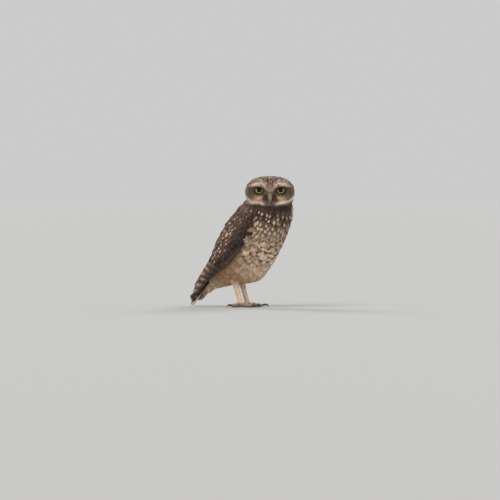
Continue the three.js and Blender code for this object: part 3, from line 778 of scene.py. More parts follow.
def in_rows(line, fine, hoop, turn, row, gap, least, shift, luck):
    """Roots in rows, a row apart along a line and a gap apart round each hoop of points."""
    far = walked(line)
    for number, walk in enumerate(np.arange(row / 2, far[-1], row)):
        place = np.interp(walk, far, fine)
        length = walked(hoop(place, turn))
        many = max(least, round(length[-1] / gap))
        at = (np.arange(many) + 0.5 * (number % 2) + luck.normal(0, shift, many)) * length[-1] / many
        angle = np.interp(at % length[-1], length, turn)
        yield place, luck.normal(0, shift, many) * row, angle, np.full(many, number % 2)


def trunk_roots(s_from, s_to, row, gap, seed, shift=0.16):
    """Rows of roots round the trunk: s, angle, and whether the row is an odd one."""
    fine = np.linspace(s_from, s_to, 400)
    line = trunk.centre(fine)
    hoop = lambda s, turn: trunk.surface(np.full(len(turn), s), turn)
    turns = np.linspace(0, 2 * np.pi, 181)
    luck = np.random.default_rng(seed)
    roots = []
    for s, moved, angle, odd in in_rows(line, fine, hoop, turns, row, gap, 3, shift, luck):
        s = s + moved * (s_to - s_from) / walked(line)[-1]
        roots.append(np.column_stack([np.clip(s, 0, 1), angle, odd]))
    return np.vstack(roots)


# The edges of the folded wing over the trunk: places along it, and degrees above the bird's side.
WING_LOW = np.array([(0.15, -4), (0.24, -12), (0.4, -13), (0.52, -8), (0.64, 0), (0.74, 8), (0.85, 14)])
WING_HIGH = np.array([(0.15, 60), (0.24, 72), (0.5, 76), (0.7, 78), (0.85, 80)])


def rise_of(angle):
    """Degrees above the bird's side, whichever side."""
    return np.degrees(np.arctan2(np.sin(angle), np.abs(np.cos(angle))))


def under_wing(s, angle, margin):
    """Whether a place on the trunk is covered by a wing, at least margin degrees inside its edges."""
    turn = rise_of(angle)
    low = np.interp(s, *WING_LOW.T) + margin
    high = np.interp(s, *WING_HIGH.T) - margin
    return (turn > low) & (turn < high) & (s > 0.2) & (s < 0.86)


def soft_marks(points):
    """The loose tips of the down carry the ground colour only."""
    ground, spot, bar, streak = body_marks(points)
    return ground, 0 * spot, 0 * bar, streak


BROAD_FEATHER = {"section": BROAD, "rows": SOFT_ROWS, "widths": SOFT_WIDTHS, "patch": 0.008}
BREAST_END, BELLY_END, UNDERTAIL_FROM, BACK_FROM = 0.42, 0.78, 0.74, 104
s, angle, odd = trunk_roots(0.05, 0.95, row=5.6, gap=6.6, seed=3).T
front = front_of(angle)
open_air = ~under_wing(s, angle, blend(12, -2, ease(s, 0.22, 0.38)))
places = trunk.surface(s, angle, -COAT_DEPTH)
local = in_head(places)
before_face = (local[:, 2] > -17.5) & (local[:, 1] < 2)
seen = open_air & ~is_head(places) & ~before_face
by_leg = (places[:, 2] < 52) & (np.abs(places[:, 1] - 2) < 15) & (np.abs(np.abs(places[:, 0]) - 13) < 10)
below = seen & (front < BACK_FROM) & ~by_leg
on_breast = below & (s < BREAST_END)
on_belly = below & (s >= BREAST_END) & (s < BELLY_END)
for name, chosen in (("breast", on_breast), ("belly", on_belly)):
    bold = 1 - 0.9 * odd[chosen] * ease(s[chosen], 0.38, 0.46)
    size = (0.8 + 0.25 * ease(s[chosen], 0.15, 0.4)) * (0.9 + 0.14 * bold)
    rise = blend(2.8, 2.3, ease(s[chosen], 0.25, 0.4)) + 0.5 * bold
    small_feathers(f"{name}_feathers", "breast_plumage", places[chosen], body_lie, body_marks, 17 * size,
                   5.2 * size, rise, seed=11, ragged=0.09, barbs=11, bold=bold, **BROAD_FEATHER)

s_down, angle_down, _ = trunk_roots(0.06, 0.93, row=2.3, gap=2.4, seed=13, shift=0.4).T
kept = blend(0.35, 0.55, ease(s_down, 0.2, 0.3)) + 0.45 * ease(s_down, 0.42, 0.52)
thinned = np.random.default_rng(15).random(len(s_down)) < kept
chosen = thinned & (front_of(angle_down) < BACK_FROM) & ~under_wing(s_down, angle_down, 0)
fluff = trunk.surface(s_down[chosen], angle_down[chosen], -COAT_DEPTH)
small_feathers("breast_down", "breast_plumage", fluff[fluff[:, 2] > 44], body_lie, soft_marks, 10.5, 0.3, 3.3,
               seed=14, widths=np.array([0.8, 1.0, 0.8, 0.2]), wander=0.3)
chosen = seen & (front < 110) & (s >= UNDERTAIL_FROM)
small_feathers("undertail_feathers", "breast_plumage", places[chosen], body_lie, body_marks, 26, 4.4, 2.4,
               seed=12, barbs=9, **BROAD_FEATHER)

# Mantle and rump
# Brown feathers with a pale spot near the end, on the back of the neck, between the wings and on the rump.
# They are the same blades as on the breast, rooted in the same rows.
chosen = seen & (front >= BACK_FROM) & (s < 0.8)
small_feathers("mantle_feathers", "brown_plumage", places[chosen], body_lie, body_marks, 16, 4.8, 3.0,
               seed=21, ragged=0.08, barbs=9, **BROAD_FEATHER)

# Crown, nape and cheeks
# Short dense feathers, brown with a fine pale streak along each shaft, radiate from the bill over the head.
# They are smallest by the bill and longer on the nape.
HEAD_POLE = unit(np.array([0, -1.0, -0.22]))
HEAD_TOP = np.cross(ACROSS, HEAD_POLE)
HEAD_RADIUS = 33
BILL_ROOT = np.array([0, -27.0, -7.0])


def on_face(ways, normals):
    """Ways of the head's own frame, laid flat on the skin."""
    return flat_on(unit(unit(ways) @ head_axes), normals)


def head_lie(points, normals):
    """The way feathers point on the head: away from the bill, away from a near eye, and down the nape."""
    local = in_head(points)
    from_bill = unit(local - BILL_ROOT)
    eye = np.column_stack([np.sign(local[:, 0]) * EYE_OUT, local[:, 1], np.full(len(local), EYE_UP)])
    gap = np.linalg.norm(local - eye, axis=1)
    round_eye = (1 - ease(gap, 12, 19)) * ease(-local[:, 1], 2, 10) * (1 - ease(local[:, 2] - EYE_UP, 2, 6))
    way = mix(from_bill, unit(local - eye), 0.85 * round_eye)
    sink = ease(local[:, 1], -6, 24) * 1.1
    return on_face(way + np.array([0, 0, -1.0]) * sink[:, None], normals)


def head_roots(row, gap, seed, fall_from, fall_to):
    """Roots in rings round an axis that leaves the head just over the bill, and their places in its frame."""
    fine = np.radians(np.linspace(fall_from, fall_to, 300))
    rim = lambda turn: np.cos(turn)[:, None] * ACROSS + np.sin(turn)[:, None] * HEAD_TOP
    hoop = lambda fall, turn: head_surface(unit(np.cos(fall) * HEAD_POLE + np.sin(fall) * rim(turn)))
    line = head_surface(np.cos(fine)[:, None] * HEAD_POLE - np.sin(fine)[:, None] * HEAD_TOP)
    turns = np.linspace(0, 2 * np.pi, 241)
    luck = np.random.default_rng(seed)
    roots = []
    for fall, moved, turn, _ in in_rows(line, fine, hoop, turns, row, gap, 4, 0.25, luck):
        fall = (fall + moved / HEAD_RADIUS)[:, None]
        roots.append(np.cos(fall) * HEAD_POLE + np.sin(fall) * rim(turn))
    local = head_surface(unit(np.vstack(roots)), -1.5)
    return from_head(local), np.abs(local[:, 0]), -local[:, 1], local[:, 2]


outside, side, ahead, height = head_roots(2.0, 1.9, 5, 20, 176)
on_disc = (ahead > 6) & (height < brow_height(side) + 2.5)
trunk_s, trunk_angle = trunk.find(outside)
middle = trunk.centre(trunk_s)
trunk_radius = np.linalg.norm(trunk.surface(trunk_s, trunk_angle) - middle, axis=1)
buried = np.linalg.norm(outside - middle, axis=1) < trunk_radius - 4.5
crown = ~on_disc & ~buried
size = 1 + 0.5 * ease(-ahead[crown], -8, 22)
size = size * (1 - 0.4 * ease(-height[crown], 8, 14) * ease(ahead[crown], -4, 6))
small_feathers("crown_feathers", "face_plumage", outside[crown], head_lie, head_marks, 6.0 * size,
               1.35 * size, 1.9, seed=31, widths=np.array([0.5, 1.0, 0.85, 0.2]))

# Facial disc
# Fine stiff feathers stand in a shallow dish round each eye and point away from it.
# The eye's own rim stays bare, and a few more feathers close the face over the throat.
STIFF_WIDTHS = np.array([0.6, 1.0, 0.8, 0.2])
outside, side, ahead, height = head_roots(1.25, 1.15, 6, 4, 92)
from_eye = np.hypot(side - EYE_OUT, (height - EYE_UP) / 0.93)
on_bill = (side < 4.8) & (height < 1.0) & (height > -19)
on_disc = (ahead > 5) & (height < brow_height(side) + 3.5) & (from_eye > 7.4) & ~on_bill
local = in_head(skin_points)
under_face = (local[:, 2] > -19) & (local[:, 1] < 2) & ~is_head(skin_points)
roots = np.vstack([outside[on_disc], skin_points[under_face]])
reach = np.concatenate([blend(2.6, 4.4, ease(from_eye[on_disc], 8, 20)), np.full(under_face.sum(), 4.2)])
small_feathers("disc_feathers", "face_plumage", roots, head_lie, head_marks, reach, 0.62, 0.9,
               seed=41, widths=STIFF_WIDTHS, wander=0.16)

# Brows and bristles
# Stiff white feathers stand out over each eye; hair-like bristles frame the bill and hide its root.
# Both are rooted in the face in small grids, the same on each side.
BRISTLE_WIDTHS = np.array([0.6, 1.0, 0.8, 0.15])
ROOT_DEPTH = 1.2


def face_at(x, z):
    """The place of a root in the face, at a width and height."""
    deep = FACE_DEPTH * (1 - np.minimum(head_outline(x, z), 1) ** FACE_FLATNESS) ** (1 / FACE_FLATNESS)
    return from_head(np.column_stack([x, -(deep + face_relief(x, z) - ROOT_DEPTH), z]))


def scatter(along, beside, jitter, seed):
    """A small grid of spots, each moved a little at random, on both sides of the face."""
    luck = np.random.default_rng(seed)
    a, b = (np.tile(axis.ravel(), 2) for axis in np.meshgrid(along, beside))
    side = np.repeat([1, -1], len(a) // 2)
    return a + luck.normal(0, jitter, len(a)), b + luck.normal(0, jitter, len(b)), side


def brow_lie(points, normals):
    local = in_head(points)
    side = np.abs(local[:, 0])
    slope = (brow_height(side + 0.5) - brow_height(side - 0.5)) * 0.9
    return on_face(np.column_stack([np.sign(local[:, 0]), np.full(len(side), -0.25), slope + 0.12]), normals)


def bristle_lie(points, normals):
    side = np.sign(in_head(points)[:, 0])
    return on_face(np.column_stack([0.35 * side, 0 * side - 0.6, 0 * side - 1.0]), normals)


def bristle_marks(points):
    """Pale over the bill and dark beside it."""
    z = in_head(points)[:, 2]
    return mix(OUTER_BROW, LORE_BROWN, ease(-z, -2.5, 1) * 0.9), 0 * z, 0 * z, 0 * z


along, beside, side = scatter(np.arange(1.2, 28, 0.95), np.arange(-2.6, 2.8, 0.75), 0.25, seed=43)
narrower = 1 - 0.45 * ease(along, 12, 27)
roots = face_at(side * along, brow_height(along) + beside * narrower)
small_feathers("brow_feathers", "face_plumage", roots, brow_lie, head_marks, 5.5, 0.7, 2.0,
               seed=44, widths=BRISTLE_WIDTHS)
along, beside, side = scatter(np.arange(2.2, 8, 0.75), np.arange(-13, 2.5, 1.1), 0.3, seed=45)
roots = face_at(side * along, beside)
small_feathers("bristles", "face_plumage", roots, bristle_lie, bristle_marks, 6.5, 0.32, 1.7,
               seed=46, widths=BRISTLE_WIDTHS, wander=0.3)

# Legs
# Short buff feathers, almost hair, clothe thigh and shank down to the toes.
# They stand in rings down each leg and point to the ground.
LEG_ROW, LEG_GAP, CLOTHED_LENGTH, LEG_GIRTH = 1.5, 1.3, 70, 2 * np.pi * 5
THIGH_TOP = 58


def leg_roots(side, seed):
    luck = np.random.default_rng(seed)
    rows, around = int(CLOTHED_LENGTH / LEG_ROW), int(LEG_GIRTH / LEG_GAP)
    down, turn = np.meshgrid(np.linspace(0.3, 0.985, rows), np.arange(around) / around, indexing="ij")
    odd = np.arange(rows)[:, None] % 2
    turn = (turn + 0.5 / around * odd + luck.normal(0, 0.3 / around, down.shape)) % 1
    down = np.clip(down + luck.normal(0, 0.3 / rows, down.shape), 0.2, 0.99)
    return leg_place(side)(down, turn).reshape(-1, 3)


def leg_lie(points, normals):
    return flat_on(np.tile([0, -0.2, -1.0], (len(points), 1)), normals)


def leg_marks(points):
    z = points[:, 2]
    return mix(LEG_BUFF, WHITE, 0.35 * (1 - ease(z, 6, 30))), 0 * z, 0 * z, 0 * z


roots = np.vstack([leg_roots(side, seed=7) for side in (1, -1)])
small_feathers("leg_feathers", "leg_feathers", roots[roots[:, 2] < THIGH_TOP], leg_lie, leg_marks,
               5.0, 0.75, 1.0, seed=51, widths=STIFF_WIDTHS)

# Wings
# A folded wing is tiers of coverts over the secondaries, with the primaries reaching past them over the tail.
# Each feather is a blade on the wing's surface whose lower edge rides on the feather below, as roof tiles do.
QUILL_ROWS = np.array([0, 0.1, 0.22, 0.34, 0.46, 0.58, 0.69, 0.79, 0.87, 0.93, 0.975, 1.0])
QUILL_ACROSS = np.array([-1, -0.55, 0, 0.55, 1.0])
ROOT_SUNK, TUCK, WING_THICK = 2.4, 1.6, 0.3
LEFT_SEED = 100
COVERTS_IN_ROW = 11
BAND_BROWN = np.array([0.03, 0.02, 0.017])
# Each tier: feathers; place of roots and of tips along the guide, then their angles, each from the lower edge
# of the wing to its upper edge; half width, lift, rise along the feather, tilt across it, and seed.
WING_TIERS = {
    "primaries": (9, (0.623, 0.66), (0.94, 0.957), (0, 20), (6, 50), 4.6, -0.9, 0.9, 0.7, 61),
    "secondaries": (12, (0.469, 0.537), (0.785, 0.93), (-8, 64), (4, 68), 5.2, -0.9, 1.7, 0.9, 62),
    "greater_coverts": (12, (0.4, 0.45), (0.64, 0.78), (-8, 62), (-4, 68), 5.8, -1.0, 2.0, 0.9, 63),
}


def quill_plumage():
    """Quill keratin: blackish brown with rows of pale spots on both webs and a dark shaft."""
    coat = Finish("wing and tail quills")
    u, v = coat.places("vane")
    spot, bar, streak, chance, length = (coat.attribute(mark) for mark in FEATHER_MARKS)
    off = (u - 0.5).math("ABSOLUTE")
    barbs = ((v * 1.6 - off * 0.5) * length * 2.6).math("SINE")
    beat = (v * length / 11.0 + chance * 0.3).math("FRACT")
    mottle = coat.noise(240.0, 3.0) - 0.5
    row = ((beat - 0.5) ** 2.0 * 5.0 + ((off - 0.33) * 3.2) ** 2.0) ** 0.5 + barbs * 0.015 + mottle * 0.5
    rows = row.step(0.62, 0.42) * bar
    from_end = (((v - 0.84) * length / 7.5) ** 2.0 + ((off - 0.27) * 4.2) ** 2.0) ** 0.5
    from_end = from_end + barbs * 0.03 + mottle * 0.4
    ends = (from_end + (chance * 9.1).math("FRACT") * 0.2).step(0.58, 0.34) * spot
    tone = (chance - 0.5) * 0.4 + 1.0 + barbs * 0.06 + mottle * 0.5
    colour = coat.toned(coat.attribute("ground", "Color"), tone)
    colour = coat.mix(v.step(0.9, 0.97) * spot.step(0.0, 0.5) * 0.4, colour, (0.36, 0.26, 0.17))
    colour = coat.mix(off.step(0.4, 0.5) * 0.25, colour, (0.3, 0.2, 0.13))
    colour = coat.mix((rows + ends).math("MINIMUM", 1.0), colour, PALE_SPOT)
    colour = coat.mix(((u - 0.5) * streak).step(0.0, 0.1) * 0.85, colour, (0.5, 0.38, 0.26))
    colour = coat.mix(off.step(0.035, 0.015) * 0.6, colour, (0.05, 0.03, 0.02))
    coat.wear(Base_Color=colour, Roughness=0.62, Normal=coat.relief(barbs, 0.00008, 0.5))
    coat.wear(Specular_IOR_Level=0.25)
    return coat.material


quill_finish = quill_plumage()


def vane_width(t, full_to=0.72, tip=0.14):
    """Share of a vane's full width along it: narrow at the root, and rounded off beyond full_to."""
    past = np.maximum(t - full_to, 0) / (1 - full_to)
    return blend(0.5, 1, ease(t, 0, 0.3)) * np.sqrt(1 - (1 - tip**2) * past**2.4)


def quill_mesh(name, top, up, thick, side, marks, lengths, luck):
    """Closed blades from their upper faces: points by feather, row and place across, and the way up there."""
    rings = np.concatenate([top, (top - up * thick)[:, :, ::-1]], axis=2) * [side, 1, 1]
    u = np.concatenate([QUILL_ACROSS + 1, (QUILL_ACROSS + 1)[::-1]]) / 2
    if side < 0:
        rings, u = rings[:, :, ::-1], u[::-1]
    vane = np.stack(np.broadcast_arrays(u[None, :], QUILL_ROWS[:, None]), axis=-1)
    count = len(top)
    cells, number = math.ceil(math.sqrt(count)), np.arange(count)
    spots = (np.column_stack([number % cells, number // cells]) + 0.5) / cells
    tones = luck.random(count)
    made = plume_mesh(name, rings, vane, marks, lengths, tones, spots, 0.92 / cells, quill_finish)
    return made


def wing_feathers(tier, name, side):
    """One tier: feathers side by side from the wing's lower edge to its upper edge."""
    count, root, tip, root_angles, tip_angles, half, lift, rise, tilt, seed = WING_TIERS[tier]
    luck = np.random.default_rng(seed + LEFT_SEED * (side > 0))
    k = np.linspace(0, 1, count)
    s0, s1 = (blend(*ends, k) + luck.normal(0, 0.004, count) for ends in (root, tip))
    a0, a1 = blend(*root_angles, k), blend(*tip_angles, k) + luck.normal(0, 1.0, count)
    t, across = QUILL_ROWS[None, :, None], QUILL_ACROSS[None, None, :]
    s = blend(s0[:, None, None], s1[:, None, None], t) + 0 * across
    angle = np.radians(blend(a0[:, None, None], a1[:, None, None], t)) + 0 * across
    radius = np.linalg.norm(guide.surface(s, angle) - guide.centre(s.ravel()).reshape(*s.shape, 3), axis=-1)
    turn = angle + across * (half * vane_width(t)) / radius
    lean = np.where(across > 0, tilt + TUCK, tilt)
    height = lift + rise * ease(t, 0, 0.5) - ROOT_SUNK * (1 - ease(t, 0, 0.3)) - lean * across * vane_width(t)
    height = height + 0.35 * (1 - across**2)
    top = guide.surface(s, turn, height)
    up = unit(guide.surface(s, turn, height + 1) - top)
    length = np.linalg.norm(top[:, -1, 2] - top[:, 0, 2], axis=-1)
    marks = covert_marks(k) if "covert" in tier else quill_marks(k)
    return quill_mesh(f"{tier}_{name}", top, up, WING_THICK, side, marks, length, luck)


def covert_marks(k):
    ground = mix(MANTLE_BROWN, DARK_BROWN, 0.9 * (1 - ease(k, 0.0, 0.35)))
    return ground, 0.1 + 0.7 * ease(k, 0.1, 0.4), 0 * k, 0 * k


def quill_marks(k):
    ground = mix(MANTLE_BROWN * 0.85, DARK_BROWN * 0.7, 1 - ease(k, 0.1, 0.5))
    return ground, 0.8 * k, 0.1 + 0.5 * ease(k, 0.2, 0.6), 0 * k


def covert_roots(seed):
    """Rows of covert roots over the folded arm: place along the guide and angle round it."""
    luck = np.random.default_rng(seed)
    roots = []
    for number, s in enumerate(np.arange(0.155, 0.63, 0.033)):
        low, high = (np.interp(s, [0.15, 0.25, 0.5], edge) for edge in ([2, -9, -8], [58, 66, 68]))
        many = COVERTS_IN_ROW - number % 2
        angle = low + (np.arange(many) + 0.25 + 0.5 * (number % 2)) * (high - low) / COVERTS_IN_ROW
        angle = angle + luck.normal(0, 0.9, many)
        roots.append(np.column_stack([s + luck.normal(0, 0.004, many), np.radians(angle)]))
    return np.vstack(roots).T


def wing_marks(points):
    """Brown coverts, darkest along the wing's lower edge where few are spotted."""
    s, angle = guide.find(points)
    turn = rise_of(angle)
    edge = 1 - ease(turn, 0, 18)
    large = bump(turn - 27, 13) * ease(s, 0.22, 0.34)
    spot = (0.3 + 0.7 * large) * (1 - 0.95 * edge * ease(s, 0.2, 0.3))
    return mix(MANTLE_BROWN, BAND_BROWN, edge), spot, 0 * s, 0 * s


for name, side in (("left", 1), ("right", -1)):
    primaries, _, _ = (wing_feathers(tier, name, side) for tier in WING_TIERS)
    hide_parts(f"wing_{name}")
    own_seed = LEFT_SEED * (side > 0)
    s, angle = covert_roots(67 + own_seed)
    length = blend(13, 24, ease(s, 0.2, 0.5))
    small_feathers(f"coverts_{name}", "brown_plumage", guide.surface(s, angle, 0.0) * [side, 1, 1], body_lie,
                   wing_marks, length, 3.6 + 0.09 * length, 3.4, seed=68 + own_seed, ragged=0.06, barbs=9,
                   **BROAD_FEATHER)

# Tail
# Twelve quills folded like a roof, the middle pair on top, dark brown with faint bars and buff outer edges.
# They are blades like those of the wings, rooted side by side in the rump; the right outer one is longer.
TAIL_QUILLS = 12
TAIL_ROOT = np.array([0, 38, 60.5])
TAIL_LENGTH, TAIL_FALL, TAIL_HALF_WIDTH, TAIL_DROP, TAIL_THICK = 72.0, math.radians(40), 12.0, 13.0, 0.4
TAIL_BROWN = DARK_BROWN * 0.28
tail_along = np.array([0, math.cos(TAIL_FALL), -math.sin(TAIL_FALL)])
tail_up = np.array([0, math.sin(TAIL_FALL), math.cos(TAIL_FALL)])


def roof(t, out):
    return blend(0.45, 1, t) * TAIL_DROP * (np.abs(out) / TAIL_HALF_WIDTH) ** 1.6


order = np.repeat(np.arange(TAIL_QUILLS // 2), 2)
side = np.tile([1, -1], TAIL_QUILLS // 2)[:, None, None]
k = order[:, None, None]
t, across = QUILL_ROWS[None, :, None], QUILL_ACROSS[None, None, :]
reach = TAIL_LENGTH * (1 - 0.004 * k + 0.05 * (k > 4) * (side < 0))
spread = np.where(side > 0, 0.62, 1.0)
out = side * blend(1.5 + 1.1 * k, 2.4 + 1.85 * spread * k, t)
out = out + across * (5.9 - 0.42 * k) * vane_width(t, 0.84)
slope = roof(t, out + 0.5) - roof(t, out - 0.5)
up = unit(tail_up + ACROSS * slope[..., None])
height = 2.2 + 0.35 * across * side - 0.5 * k - roof(t, out) + 0.3 * (1 - across**2)
top = TAIL_ROOT + tail_along * (reach * t + 0 * across)[..., None]
top = top + ACROSS * out[..., None] + tail_up * height[..., None]
tail_marks = (np.tile(TAIL_BROWN, (TAIL_QUILLS, 1)), 0.0 * order, 0.03 + 0.035 * order,
              (order > 4) * np.tile([0.35, -1], TAIL_QUILLS // 2))
tail = quill_mesh("tail_quills", top, up, TAIL_THICK, 1, tail_marks, np.full(TAIL_QUILLS, TAIL_LENGTH),
                  np.random.default_rng(71))
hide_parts("tail")

# Bill
# A short hooked upper half over a small lower half, horn over bone, with round nostrils near its root.
# Both grow out of the face between the eyes, and the bristles hide their roots.
HORN = (0.19, 0.137, 0.069)
NOSTRIL = (4.4, -27.6, -3.0)
# Each half: places forward and height, half widths, half heights, and rows and columns of its grid.
BILL_HALVES = {
    "upper": ([(18, -3), (26, -3.6), (31.6, -7.4), (33.6, -12.4), (33.2, -17.2)], [4.0, 3.9, 3.3, 2.1, 0.3],
              [5.0, 4.6, 3.8, 2.2, 0.3], 48, 32),
    "lower": ([(18, -11), (26, -12), (29.6, -14.6)], [4, 3.6, 0.7], [2.6, 2.2, 0.5], 24, 24),
}


def bill_half(which):
    path, widths, heights, rows, columns = BILL_HALVES[which]
    points = np.array([[0, -forward, height] for forward, height in path])
    sizes = np.column_stack([widths, heights])

    def place(down, around):
        flat, turn = down.ravel(), around.ravel() * 2 * np.pi
        rise = over(heading(lambda t: curve(points, t), flat))
        size = curve(sizes, flat)
        ridge = 1 + 0.08 * np.maximum(0, np.sin(turn)) ** 6
        side = ACROSS * (size[:, 0] * np.cos(turn))[:, None]
        made = curve(points, flat) + side - rise * (size[:, 1] * ridge * np.sin(turn))[:, None]
        ends = (flat <= 0) | (flat >= 1)
        made[ends] = curve(points, flat)[ends]
        if which == "upper":
            for nostril in (1, -1):
                dent = bump(np.linalg.norm(made - np.array(NOSTRIL) * [nostril, 1, 1], axis=1), 1.0)
                made -= np.array([nostril * 0.8, -0.5, 0]) * dent[:, None]
        return from_head(made.reshape(*down.shape, 3))

    return bird_mesh(f"bill_horn_{which}", *ball(rows, columns, place))


def horn_finish():
    """Horn: greenish grey, mottled darker and paler, with a fine grain."""
    horn = Finish("bill horn")
    grain = horn.noise(700.0, 4.0)
    colour = horn.mix(horn.noise(120.0).step(0.35, 0.7), HORN, (0.1, 0.074, 0.042))
    colour = horn.mix(grain * 0.2, colour, (0.38, 0.288, 0.145))
    horn.wear(Base_Color=colour, Roughness=0.38, Normal=horn.relief(grain, 0.00008, 0.4), Coat_Weight=0.15)
    return horn.material


horn_material = horn_finish()
for which in BILL_HALVES:
    half = bill_half(which)
    half.data.materials.append(horn_material)
    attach(half, "root")
    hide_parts(f"bill_{which}")

# Eyes
# A yellow iris round a wide black pupil, under a clear bulging cornea that gives the wet shine.
# Dark bare lids rim the opening, flat and low above where the brow presses on them.
EYE_RADIUS, PUPIL = 9.0, 3.8
LID_HALF_WIDTH, LID_RISE, LID_DROP, LID_THICK = 6.8, 3.7, 6.3, 0.95
LID_STEPS, LID_ROUND = 96, 14
GAZE_SPAN = 20


def eye_finish():
    """Iris with fine fibres and a painted shade of the brow over its top, round a black pupil."""
    eye = Finish("eye")
    x, y = (place - 0.5 for place in eye.places("gaze"))
    far = (x * x + y * y) ** 0.5 * float(GAZE_SPAN)
    turn = y.math("ARCTAN2", x)
    fibres = ((turn * 46.0).math("SINE") * 0.5 + (turn * 17.0).math("SINE") * 0.5) * far.step(2.6, 4.0)
    colour = eye.mix(far.step(3.2, 6.2), (0.52, 0.45, 0.075), (0.4, 0.35, 0.055))
    colour = eye.mix(fibres * 0.25 + 0.1, colour, (0.3, 0.22, 0.02))
    # Painted shade: the top of the iris is darkened where the brow and upper lid would shade it.
    colour = eye.mix(y.step(-0.03, 0.13) * 0.8, colour, (0.06, 0.05, 0.012))
    colour = eye.mix(far.step(5.7, 6.4), colour, (0.012, 0.01, 0.008))
    colour = eye.mix(far.step(PUPIL + 0.12, PUPIL - 0.08), colour, (0.004, 0.004, 0.004))
    eye.wear(Base_Color=colour, Roughness=0.3, Coat_Weight=0.22, Coat_Roughness=0.03, Specular_IOR_Level=0.12)
    return eye.material


def lid_finish():
    lid = Finish("bare lid")
    grain = lid.noise(1500.0, 3.0)
    colour = lid.mix(grain * 0.6, (0.007, 0.005, 0.004), (0.026, 0.019, 0.014))
    lid.wear(Base_Color=colour, Roughness=0.7, Specular_IOR_Level=0.2, Normal=lid.relief(grain, 0.00012, 0.6))
    return lid.material


def lids_of(centre, side):
    """A soft rim round the opening, as points and faces."""
    whole_turn = lambda steps: np.arange(steps) / steps * 2 * np.pi
    turns, round_rim = np.meshgrid(whole_turn(LID_STEPS), whole_turn(LID_ROUND), indexing="ij")
    outwards, forwards = LID_THICK * np.cos(round_rim), LID_THICK * np.sin(round_rim)
    across, up = np.cos(turns), np.sin(turns)
    x = across * (LID_HALF_WIDTH + outwards)
    z = up * (np.where(up > 0, LID_RISE, LID_DROP) + outwards)
    z = z + np.where(up > 0, 0.16 * across * LID_HALF_WIDTH * up, 0)
    out = np.sqrt((EYE_RADIUS + 0.4) ** 2 - np.minimum(x * x + z * z, 60))
    rim = np.stack([centre[0] + side * x, centre[1] - out - forwards, centre[2] + z], axis=-1)
    at = lambda i, j: (i % LID_STEPS) * LID_ROUND + j % LID_ROUND
    steps = [(i, j) for i in range(LID_STEPS) for j in range(LID_ROUND)]
    faces = [(at(i, j), at(i + 1, j), at(i + 1, j + 1), at(i, j + 1)) for i, j in steps]
    return from_head(rim.reshape(-1, 3)), [face[::-1] for face in faces] if side > 0 else faces


eye_material, lid_material = eye_finish(), lid_finish()
for name, side in (("left", 1), ("right", -1)):
    centre = np.array([side * EYE_OUT, -EYE_DEPTH, EYE_UP])

    def eye_place(down, around):
        fall, turn = down * np.pi, around * 2 * np.pi
        way = np.stack([np.sin(fall) * np.cos(turn), -np.sin(fall) * np.sin(turn), np.cos(fall)], axis=-1)
        cornea = 1 - 0.03 * ease(-way[..., 1], 0.92, 0.7)
        return from_head(centre + way * (EYE_RADIUS * cornea)[..., None])

    vertices, faces = ball(48, 64, eye_place)
    globe = bird_mesh(f"eyeball_{name}", vertices, faces)
    mapped(globe, "gaze", (in_head(vertices) - centre)[:, [0, 2]] / GAZE_SPAN + 0.5)
    globe.data.materials.append(eye_material)
    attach(globe, "root")
    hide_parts(f"eye_{name}")
    lids = bird_mesh(f"lids_{name}", *lids_of(centre, side))
    lids.data.materials.append(lid_material)
    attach(lids, "root")

# Feet
# Two toes point ahead, one to the side and one behind; they bear the bird's weight flat on the ground.
# Dry grey-brown skin with cross plates above and pads below, and curved dark claws of horn at the ends.
# Each toe: degrees it points away from straight ahead to the bird's outside, length, and length of its claw.
TOES = [(-15, 21, 9), (14, 24, 10), (112, 18, 9), (196, 12, 9)]
TOE_RADIUS, CLAW_CLEAR, PLATE_SPAN = 2.7, 0.6, 20
TOE_ROWS, TOE_COLUMNS = 60, 24


def toe_finish():
    """Dry skin: a row of cross plates on top of each toe, small round scales at its sides and under it."""
    toe = Finish("toe skin")
    along, top = toe.places("plates")
    grain = toe.noise(900.0, 3.0)
    plate = ((along * float(PLATE_SPAN) + (grain - 0.5) * 0.3) * 0.55).math("FRACT")
    seam = plate.near(0.5, 0.2) * top.step(0.45, 0.7)
    beads = toe.solid("ShaderNodeTexVoronoi", "Distance", Scale=1100.0) * top.step(0.7, 0.45)
    colour = toe.mix(grain, (0.2, 0.145, 0.095), (0.38, 0.29, 0.19))
    colour = toe.mix((seam * 0.65 + beads * 0.5).clip(), colour, (0.07, 0.05, 0.035))
    height = grain * 0.3 - seam - beads * 0.7
    toe.wear(Base_Color=colour, Roughness=0.7, Normal=toe.relief(height, 0.0004, 0.7))
    return toe.material


def claw_finish():
    claw = Finish("claw")
    colour = claw.mix(claw.noise(800.0, 2.0), (0.015, 0.012, 0.01), (0.05, 0.04, 0.03))
    claw.wear(Base_Color=colour, Roughness=0.3, Coat_Weight=0.2)
    return claw.material


